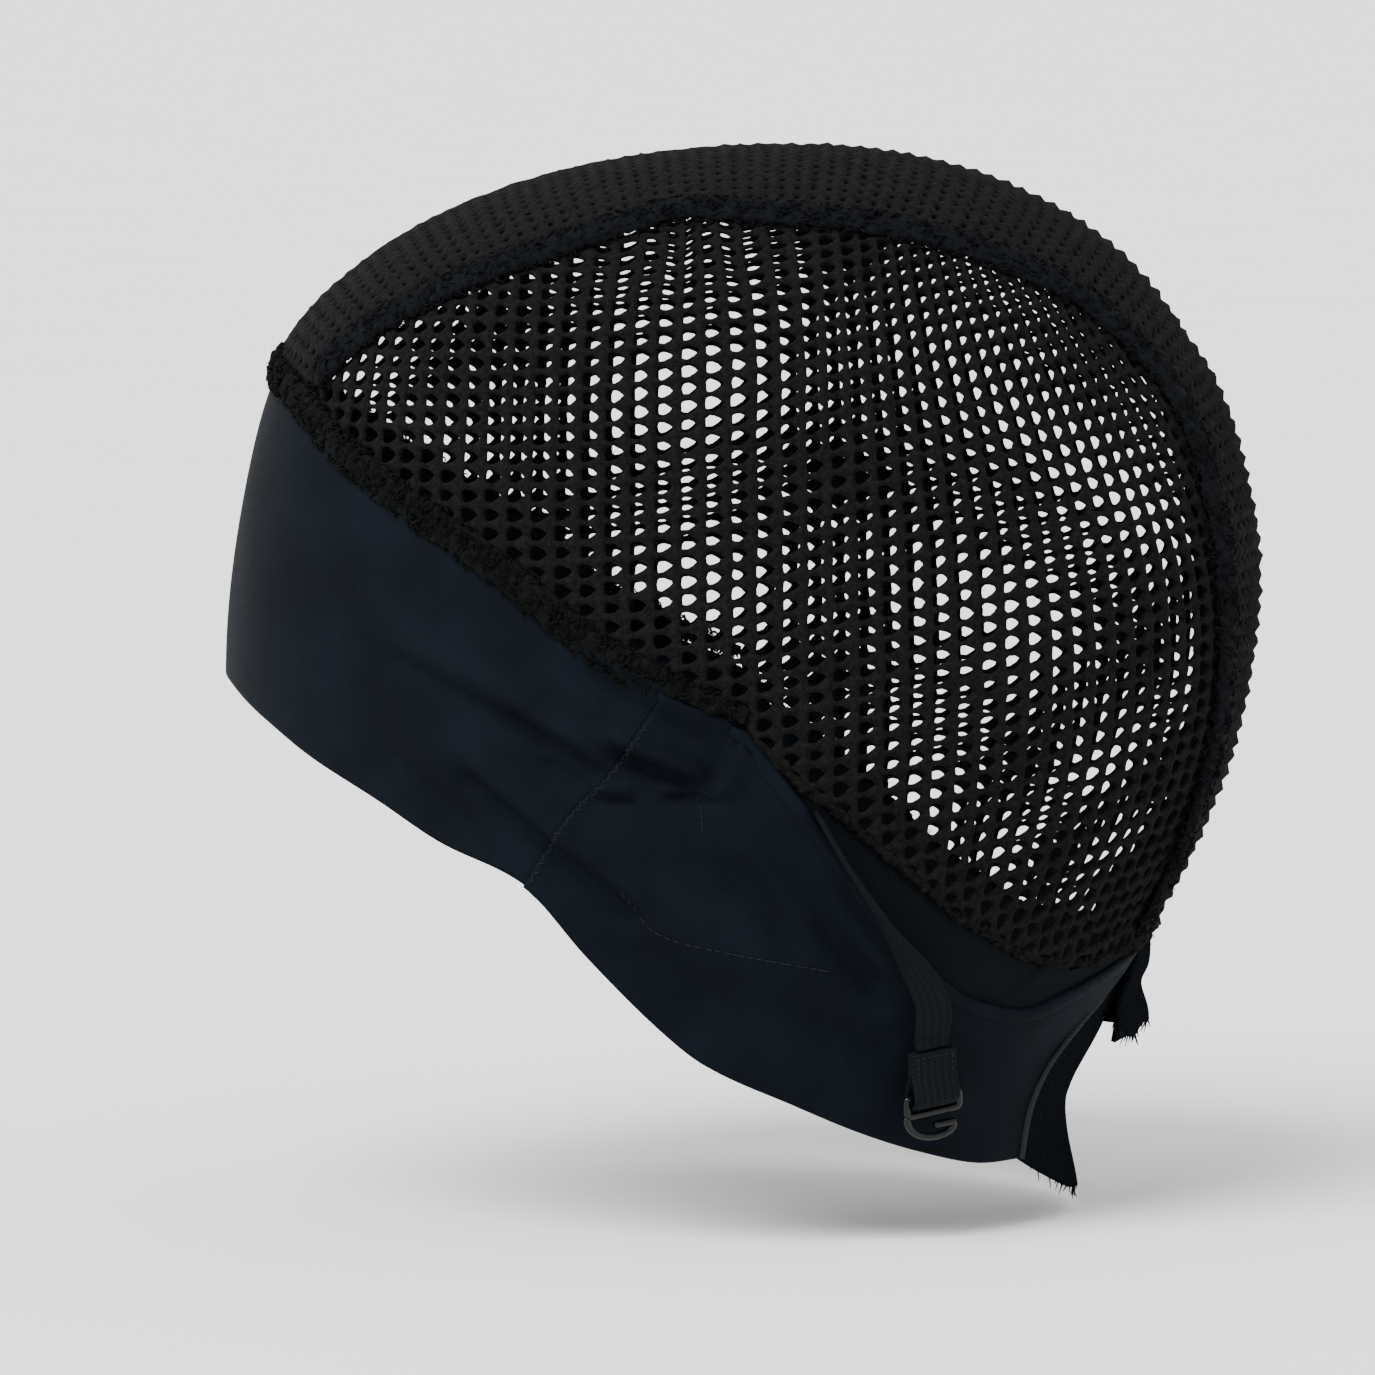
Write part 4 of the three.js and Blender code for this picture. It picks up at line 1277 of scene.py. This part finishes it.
def make_band():
    wall = bpy.context.scene.wig_cap_cloth.smooth_wall
    bm = lay_cloth(264, 56, (0.262, 0.054), band_place, band_lift)
    band = make_piece("band_cloth", bm, "satin_jersey", ["front_band"])
    add_wall(band, wall)


def make_panels():
    wall = bpy.context.scene.wig_cap_cloth.smooth_wall
    bm = lay_cloth(132, 60, (0.105, 0.055), panel_place, panel_lift)
    left = make_piece(
        "panel_cloth_left", bm, "satin_jersey", ["side_panel_left"]
    )
    right = mirrored(left, "panel_cloth_right", ["side_panel_right"])
    for panel in (left, right):
        add_wall(panel, wall)
    make_edges()


def make_edges():
    """The bound, rolled edge of each ear panel's flap."""
    trim = bpy.context.scene.wig_cap_trim
    t = np.linspace(0, 1, 150)
    base = SECOND_LAYER + trim.edge_height / 2
    centres, _, out, across = route_frame(flap_edge_route, t, base)
    taper = 1 - 0.45 * smooth_step(t, 0.93, 1.0) - 0.3 * (1 - smooth_step(t, 0, 0.06))
    bm = sweep(centres, across, out, trim.edge_width * taper, trim.edge_height * taper, 12, 2.4)
    points = coordinates(bm)
    bm.normal_update()
    normals = np.array([vert.normal for vert in bm.verts])
    move_to(bm, points + normals * (0.09 * MM * ripple(points, 4 * MM, 41))[:, None])
    left = make_piece("flap_binding_left", bm, "satin_jersey", ["flap_edge_left"])
    mirrored(left, "flap_binding_right", ["flap_edge_right"])


# The elastic behind the flap.
def under_band_place(u, v):
    turn = lerp(96.0, 163.5, u)
    low = edge_drop(FLAP_LINE, turn) + UNDERLAP * smooth_step(u, 0, 0.12) / CAP_DROP
    return at_turn(turn, lerp(low, edge_drop(NET_EDGE, turn), v))


def make_under_bands():
    wall = bpy.context.scene.wig_cap_cloth.elastic_wall

    def lift(u, v, points):
        """A fold slants across the band's rear end."""
        rise = -150 * (edge_drop(FLAP_LINE, 131) + points[:, 2] / CAP_DROP)
        behind_fold = smooth_step(turn_of(points) - 131 + rise, 0, 1.5)
        return CLOTH_WALL + 0.7 * MM * behind_fold + 0.05 * MM * ripple(points, 9 * MM, 51)

    bm = lay_cloth(90, 14, (0.085, 0.02), under_band_place, lift)
    left = make_piece("under_elastic_left", bm, "flat_elastic", ["under_band_left"])
    right = mirrored(left, "under_elastic_right", ["under_band_right"])
    for band, net in ((left, "net_side_left"), (right, "net_side_right")):
        add_wall(band, wall)


# Straps, their sewn ends and hooks.
def strap_frames(t):
    """The strap's centres, with its directions along, across and out."""
    strap = bpy.context.scene.wig_cap_strap
    trim = bpy.context.scene.wig_cap_trim

    def route(share):
        turn = look_up(STRAP_ROUTE, "share", "turn", share)
        return at_turn(turn, look_up(STRAP_ROUTE, "share", "drop", share))

    points, along, out, across = route_frame(route, t)
    roll = np.radians(look_up(STRAP_ROUTE, "share", "roll", t))[:, None]
    climb = look_up(STRAP_ROUTE, "share", "climb", t) * (trim.edge_height + 0.35 * MM)
    slack = look_up(STRAP_ROUTE, "share", "slack", t) * strap.width
    turned = np.cos(roll[:, 0]) * strap.wall + np.abs(np.sin(roll[:, 0])) * strap.width
    centres = points + out * (SECOND_LAYER + climb + slack + turned / 2)[:, None]
    side = across * np.cos(roll) + np.cross(along, across) * np.sin(roll)
    face = out * np.cos(roll) + np.cross(along, out) * np.sin(roll)
    return centres, along, side, face


def strap_end():
    """Where the strap ends, as a turn and a place: X across it, Y up it and Z out of it."""
    centres, along, side, face = strap_frames(np.array([1.0]))
    up = -along[0]
    return basis(np.cross(up, face[0]), face[0], centres[0])


def eye_radius():
    bar = bpy.context.scene.wig_cap_strap.hook_bar
    return math.hypot(bar, bar) / 2 + 0.35 * MM


def fold_shape():
    """The strap's end, down in front of the hook's bar, round it and up behind."""
    strap = bpy.context.scene.wig_cap_strap
    radius = eye_radius() + strap.wall / 2
    eye_y = -strap.fold_length + strap.wall + eye_radius()
    neck = 2.6 * radius
    half = strap.wall / 2
    path = [(half, 0.0), (half, eye_y + neck), (0.8 * radius, eye_y + 0.9 * radius)]
    turn = np.linspace(0.12 * np.pi, -1.12 * np.pi, 13)
    path += [(radius * math.cos(a), eye_y + radius * math.sin(a)) for a in turn]
    path += [(-0.8 * radius, eye_y + 0.9 * radius), (-half, eye_y + neck), (-half, 0.0)]
    corners = np.array([(0.0, y, z) for z, y in path])
    centres = resample(corners, 60)
    along = unit(np.gradient(centres, axis=0))
    across = np.tile([1.0, 0.0, 0.0], (len(centres), 1))
    out = np.cross(across, along)
    return sweep(centres, across, out, strap.width * 1.06, strap.wall * 0.96, 12, 4.0)


def resample(corners, count):
    """Even points along a line of corners, with its corners rounded a little."""
    steps = np.linalg.norm(np.diff(corners, axis=0), axis=1)
    length = np.concatenate([[0], np.cumsum(steps)])
    even = np.linspace(0, length[-1], count)
    points = np.stack([np.interp(even, length, corners[:, k]) for k in range(3)], axis=1)
    for _ in range(2):
        points[1:-1] = (points[:-2] + 2 * points[1:-1] + points[2:]) / 4
    return points


def bezier(a, b, c, d, count):
    t = np.linspace(0, 1, count)[:, None]
    return (1 - t) ** 3 * a + 3 * t * (1 - t) ** 2 * b + 3 * t * t * (1 - t) * c + t**3 * d


def hook_shape():
    """A flat moulded hook: a closed slot above an open ring with a tongue."""
    strap = bpy.context.scene.wig_cap_strap
    bar = strap.hook_bar
    half = strap.width / 2 + 0.35 * MM + bar / 2
    lower = -eye_radius() - strap.wall - 0.35 * MM - bar / 2
    foot = -strap.hook_length + bar
    tongue = lower - 2.1 * MM - bar / 2
    slot = [(-half, 0), (half, 0), (half, lower), (-half, lower), (-half, 0)]
    slot = resample(np.array([(x, y, 0.0) for x, y in slot]), 49)
    start = np.array([-half, lower, 0.0])
    end = np.array([half - bar, tongue, 0.0])
    ring = bezier(
        start,
        start + np.array([0, 1.25 * (foot - lower), 0]),
        np.array([half, foot - 0.6 * bar, 0]),
        end,
        34,
    )
    tip = np.linspace(end, np.array([0.25 * bar, tongue + 0.1 * bar, 0.0]), 9)[1:]
    bm = None
    for centres, ring_closed in ((slot, True), (np.concatenate([ring, tip]), False)):
        along = unit(np.gradient(centres, axis=0))
        if ring_closed:
            along[0] = along[-1] = unit(centres[1] - centres[-2])
        out = np.tile([0.0, 0.0, 1.0], (len(centres), 1))
        across = np.cross(along, out)
        bar_shape = sweep(centres, across, out, bar, bar, 12, 2.6, ring_closed)
        bm = bar_shape if bm is None else join(bm, bar_shape)
    return bm


def stitch_shape(length, thickness):
    """One stitch along X, sunk a little at both ends."""
    bm = bmesh.new()
    bmesh.ops.create_uvsphere(bm, u_segments=8, v_segments=6, radius=0.5)
    bmesh.ops.rotate(bm, verts=bm.verts[:], matrix=Matrix.Rotation(math.pi / 2, 3, "Y"))
    bmesh.ops.scale(bm, vec=(length, thickness, thickness * 0.8), verts=bm.verts[:])
    return bm


def make_straps():
    strap = bpy.context.scene.wig_cap_strap
    t = np.linspace(0, 1, 110)
    centres, _, side, face = strap_frames(t)
    width = strap.width * (1 - 0.27 * smooth_step(t, 0.55, 0.85))
    bm = sweep(centres, side, face, width, strap.wall, 16, 5.0)
    left = make_piece("strap_webbing_left", bm, "ribbed_elastic", ["strap_left"])
    mirrored(left, "strap_webbing_right", ["strap_right"])

    end = strap_end() @ Matrix.Translation((0, -JOIN_GAP, 0))
    bm = fold_shape()
    bmesh.ops.transform(bm, matrix=end, verts=bm.verts[:])
    left = make_piece("strap_end_left", bm, "ribbed_elastic", ["strap_fold_left"])
    mirrored(left, "strap_end_right", ["strap_fold_right"])

    eye_y = -strap.fold_length + strap.wall + eye_radius()
    bm = hook_shape()
    bmesh.ops.transform(bm, matrix=end @ Matrix.Translation((0, eye_y, 0)), verts=bm.verts[:])
    left = make_piece("hook_left", bm, "hook_enamel", ["strap_hook_left"])
    mirrored(left, "hook_right", ["strap_hook_right"])
    make_fold_stitches(end)


def make_fold_stitches(end):
    """A box of stitches on the doubled strap end."""
    strap = bpy.context.scene.wig_cap_strap
    rise = strap.wall + 0.02 * MM
    inset = 0.9 * MM
    left, right = inset - strap.width / 2, strap.width / 2 - inset
    top, foot = -inset, -0.56 * strap.fold_length
    pitch = 1.2 * MM
    places = []
    for x in np.arange(left, right + pitch / 2, pitch):
        places += [(x, top, (1, 0, 0)), (x, foot, (1, 0, 0))]
    for y in np.arange(foot, top, pitch):
        places += [(left, y, (0, 1, 0)), (right, y, (0, 1, 0))]
    matrices = [end @ basis(along, (0, 0, 1), (x, y, rise)) for x, y, along in places]
    bm = scatter(stitch_shape(0.9 * MM, 0.34 * MM), matrices)
    piece = make_piece("fold_stitches_left", bm, "thread", [])
    mirrored(piece, "fold_stitches_right", [])


# The nape: velvet panel, flap and piping.
def nape_place(u, v):
    side = 2 * u - 1

    def drop(share):
        low = lerp(1.01, LOWER_EDGE[-1]["drop"], share * share)
        return lerp(low, NET_EDGE[-1]["drop"] - 0.02, v)

    seam = seam_turn(NAPE_SEAM, drop(1.0)) - 0.8
    return at_turn(180 + side * (180 - seam), drop(side))


def nape_lift(u, v, points):
    """The velvet hollows above its tail and flares at the foot."""
    drop = -points[:, 2] / CAP_DROP
    side = 2 * u - 1
    hollow = 3.6 * MM * np.exp(-(((drop - 0.93) / 0.055) ** 2)) * (1 - side**2)
    flare = 4.4 * MM * (1 - v) ** 4 * (1 - side**2)
    return CLOTH_WALL + flare - hollow + 0.2 * MM * ripple(points, 8 * MM, 61)


def nape_flap_place(u, v):
    side = 2 * u - 1
    foot = 0.838 + 0.02 * side * side + 0.004 * np.sin(9 * side) * (1 - v)
    return at_turn(180 + 16.5 * side, lerp(foot, 0.765, v))


def nape_flap_lift(u, v, points):
    side = 2 * u - 1
    waist = 1.7 * MM * np.exp(-(((v - 0.42) / 0.2) ** 2))
    standoff = (6.2 * MM * (1 - v) ** 0.8 - waist) * (1 - 0.6 * side * side)
    wave = 0.5 * MM * np.sin(7 * side + 1) * (1 - v)
    return SECOND_LAYER + CLOTH_WALL + standoff + wave


def make_nape():
    wall = bpy.context.scene.wig_cap_cloth.velvet_wall
    bm = lay_cloth(80, 56, (0.07, 0.05), nape_place, nape_lift)
    panel = make_piece("nape_velvet", bm, "velvet_pile", ["nape_panel"])
    add_wall(panel, 0.9 * wall)
    bm = lay_cloth(48, 28, (0.037, 0.021), nape_flap_place, nape_flap_lift)
    flap = make_piece("nape_flap_velvet", bm, "velvet_pile", ["nape_flap"])
    add_wall(flap, wall)
    make_frays()
    make_piping()


def make_frays():
    """Loose strands along the lower edges of the velvet panel and its flap."""
    draw = np.random.default_rng(71)
    matrices = []
    for place, lift, count in (
        (nape_place, nape_lift, 90),
        (nape_flap_place, nape_flap_lift, 80),
    ):
        u = draw.uniform(0.06, 0.94, count)
        v = draw.uniform(0, 0.03, count)
        points = place(u, v)
        points = raised(points, lift(u, v, points) - 0.4 * MM)
        for point in points:
            strand = Vector((0.4 * draw.normal(), 0.35 * draw.normal(), -1)).normalized()
            length = Matrix.Diagonal((1, 1, draw.uniform(0.25, 1.0) ** 2, 1))
            matrices.append(basis(strand.orthogonal(), strand, point) @ length)
    bm = bmesh.new()
    bmesh.ops.create_cone(
        bm, cap_ends=False, segments=4, radius1=0.24 * MM, radius2=0.08 * MM, depth=3.4 * MM
    )
    bmesh.ops.translate(bm, vec=(0, 0, 1.3 * MM), verts=bm.verts[:])
    make_piece("nape_frays", scatter(bm, matrices), "velvet_pile", [])


def make_piping():
    t = np.linspace(0, 1, 90)
    centres, _, out, across = route_frame(piping_route, t, 1.05 * MM)
    bm = sweep(centres, across, out, 1.3 * MM, 1.3 * MM, 12)
    left = make_piece("nape_cord_left", bm, "piping_cloth", ["nape_piping_left"])
    mirrored(left, "nape_cord_right", ["nape_piping_right"])


# Stitches on the smooth cloth.
SEAM_STITCHES = table(
    "share turn drop",
    (0, 76.8, 0.53), (0.3, 72.0, 0.578), (0.55, 67.0, 0.614), (0.75, 64.0, 0.642), (1, 60.4, 0.684),
)
PANEL_STITCHES = table(
    "share turn drop",
    (0, 72.4, 0.69), (0.2, 77.1, 0.728), (0.45, 86.5, 0.747), (1, 103.2, 0.768),
)
EAR_STITCHES = table(
    "share turn drop",
    (0, 83.9, 0.598), (1, 84.2, 0.636),
)


def stitch_row(rows, lift, count, zigzag=0.0, size=(1.3 * MM, 0.3 * MM)):
    """Stitches along a line of turns and drops, to and fro across it by zigzag."""

    def route(t):
        turn = look_up(rows, "share", "turn", t)
        return at_turn(turn, look_up(rows, "share", "drop", t))

    draw = np.random.default_rng(count)
    t = (np.arange(count) + draw.uniform(0.3, 0.7, count)) / count
    points, along, out, across = route_frame(route, t)
    points = points + out * (lift(points) + 0.08 * MM)[:, None]
    matrices = []
    for k in range(count):
        lean = (1 if k % 2 else -1) * draw.uniform(0.5, 1.3)
        direction = along[k] + across[k] * lean * zigzag
        matrices.append(basis(direction, out[k], points[k]))
    return scatter(stitch_shape(*size), matrices)


def make_stitches():
    def on_panel(points):
        return panel_lift(None, None, points)

    bm = stitch_row(SEAM_STITCHES, on_panel, 40, 1.0, (1.6 * MM, 0.22 * MM))
    join(bm, stitch_row(PANEL_STITCHES, on_panel, 26))
    join(bm, stitch_row(EAR_STITCHES, on_panel, 5))
    left = make_piece("cloth_stitches_left", bm, "thread", [])
    mirrored(left, "cloth_stitches_right", [])


# The stage.
def make_floor():
    stage = bpy.context.scene.wig_cap_stage
    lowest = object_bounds()[0].z
    bm = bmesh.new()
    bmesh.ops.create_circle(bm, cap_ends=True, segments=96, radius=95)
    bmesh.ops.translate(bm, vec=(0, 0, lowest - stage.floor_gap), verts=bm.verts[:])
    mesh = bpy.data.meshes.new("floor")
    bm.to_mesh(mesh)
    bm.free()
    mesh.materials.append(material("floor_paint"))
    floor = bpy.data.objects.new("floor", mesh)
    bpy.context.scene.collection.objects.link(floor)
    floor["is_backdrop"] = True


def add_light(name, kind, power, place):
    """A light at a place, turned to the cap's middle."""
    data = bpy.data.lights.new(name, kind)
    data.energy = power
    light = bpy.data.objects.new(name, data)
    light.location = place
    away = Vector(place) - Vector(LIT_POINT)
    light.rotation_euler = away.to_track_quat("Z", "Y").to_euler()
    bpy.context.scene.collection.objects.link(light)
    return data


LIT_POINT = (0, -0.02, -0.1)
MAIN_PLACE = (1.15, -0.7, 1.5)
FRONT_PLACE = (0.5, -1.5, 0.3)


def make_lights():
    stage = bpy.context.scene.wig_cap_stage
    add_light("main", "SUN", stage.sun, MAIN_PLACE).angle = math.radians(35)
    add_light("front", "AREA", stage.rim_power, FRONT_PLACE).size = 0.8
    world = bpy.data.worlds.new("studio")
    world.use_nodes = True
    sky = world.node_tree.nodes["Background"]
    sky.inputs["Color"].default_value = (1, 1, 1, 1)
    sky.inputs["Strength"].default_value = stage.sky
    bpy.context.scene.world = world


def make_camera():
    stage = bpy.context.scene.wig_cap_stage
    data = bpy.data.cameras.new("camera")
    data.sensor_fit = "HORIZONTAL"
    data.lens = data.sensor_width * stage.distance / stage.view_width
    camera = bpy.data.objects.new("camera", data)
    target = Vector((0, -19.1 * MM, -100.1 * MM))
    away = Vector((math.cos(stage.elevation), 0, math.sin(stage.elevation)))
    camera.location = target + away * stage.distance
    camera.rotation_euler = (-away).to_track_quat("-Z", "Y").to_euler()
    bpy.context.scene.collection.objects.link(camera)
    bpy.context.scene.camera = camera


# Operators.
class WIGCAP_OT_nets(Operator):
    """Knit the crown strip and the side nets"""

    bl_idname = "wigcap.nets"
    bl_label = "Nets"

    def execute(self, context):
        make_nets()
        return {"FINISHED"}


class WIGCAP_OT_seams(Operator):
    """Roll the crown seams and overlock the net's hem"""

    bl_idname = "wigcap.seams"
    bl_label = "Seams and hem"

    def execute(self, context):
        make_seams()
        return {"FINISHED"}


class WIGCAP_OT_band(Operator):
    """Lay the smooth front band"""

    bl_idname = "wigcap.band"
    bl_label = "Front band"

    def execute(self, context):
        make_band()
        return {"FINISHED"}


class WIGCAP_OT_panels(Operator):
    """Lay the ear panels with their bound edges"""

    bl_idname = "wigcap.panels"
    bl_label = "Ear panels"

    def execute(self, context):
        make_panels()
        return {"FINISHED"}


class WIGCAP_OT_under_bands(Operator):
    """Lay the flat elastic behind the flaps"""

    bl_idname = "wigcap.under_bands"
    bl_label = "Under bands"

    def execute(self, context):
        make_under_bands()
        return {"FINISHED"}


class WIGCAP_OT_straps(Operator):
    """Twist the straps down and hang the hooks on them"""

    bl_idname = "wigcap.straps"
    bl_label = "Straps and hooks"

    def execute(self, context):
        make_straps()
        return {"FINISHED"}


class WIGCAP_OT_nape(Operator):
    """Lay the velvet at the nape with its piping"""

    bl_idname = "wigcap.nape"
    bl_label = "Nape"

    def execute(self, context):
        make_nape()
        return {"FINISHED"}


class WIGCAP_OT_stitches(Operator):
    """Sew the seams of the smooth cloth"""

    bl_idname = "wigcap.stitches"
    bl_label = "Stitches"

    def execute(self, context):
        make_stitches()
        return {"FINISHED"}


class WIGCAP_OT_stage(Operator):
    """Set up the floor, the lights and the camera"""

    bl_idname = "wigcap.stage"
    bl_label = "Stage"

    def execute(self, context):
        make_floor()
        make_lights()
        make_camera()
        return {"FINISHED"}


OPERATORS = [
    WIGCAP_OT_nets,
    WIGCAP_OT_seams,
    WIGCAP_OT_band,
    WIGCAP_OT_panels,
    WIGCAP_OT_under_bands,
    WIGCAP_OT_straps,
    WIGCAP_OT_nape,
    WIGCAP_OT_stitches,
    WIGCAP_OT_stage,
]


class WIGCAP_PT_panel(Panel):
    """The cap's pieces and settings"""

    bl_idname = "WIGCAP_PT_panel"
    bl_label = "Wig cap"
    bl_space_type = "VIEW_3D"
    bl_region_type = "UI"
    bl_category = "Wig cap"

    def draw(self, context):
        for operator in OPERATORS:
            self.layout.operator(operator.bl_idname)
        for key, group in SETTINGS.items():
            box = self.layout.box()
            box.label(text=group.__name__)
            for name in group.__annotations__:
                box.prop(getattr(context.scene, key), name)


def register():
    for group in SETTINGS.values():
        bpy.utils.register_class(group)
    for key, group in SETTINGS.items():
        setattr(bpy.types.Scene, key, PointerProperty(type=group))
    for operator in OPERATORS:
        bpy.utils.register_class(operator)
    bpy.utils.register_class(WIGCAP_PT_panel)


def unregister():
    bpy.utils.unregister_class(WIGCAP_PT_panel)
    for operator in reversed(OPERATORS):
        bpy.utils.unregister_class(operator)
    for key in SETTINGS:
        delattr(bpy.types.Scene, key)
    for group in reversed(list(SETTINGS.values())):
        bpy.utils.unregister_class(group)


def main():
    register()
    for operator in OPERATORS:
        group, name = operator.bl_idname.split(".")
        getattr(getattr(bpy.ops, group), name)()


if __name__ == "__main__":
    main()
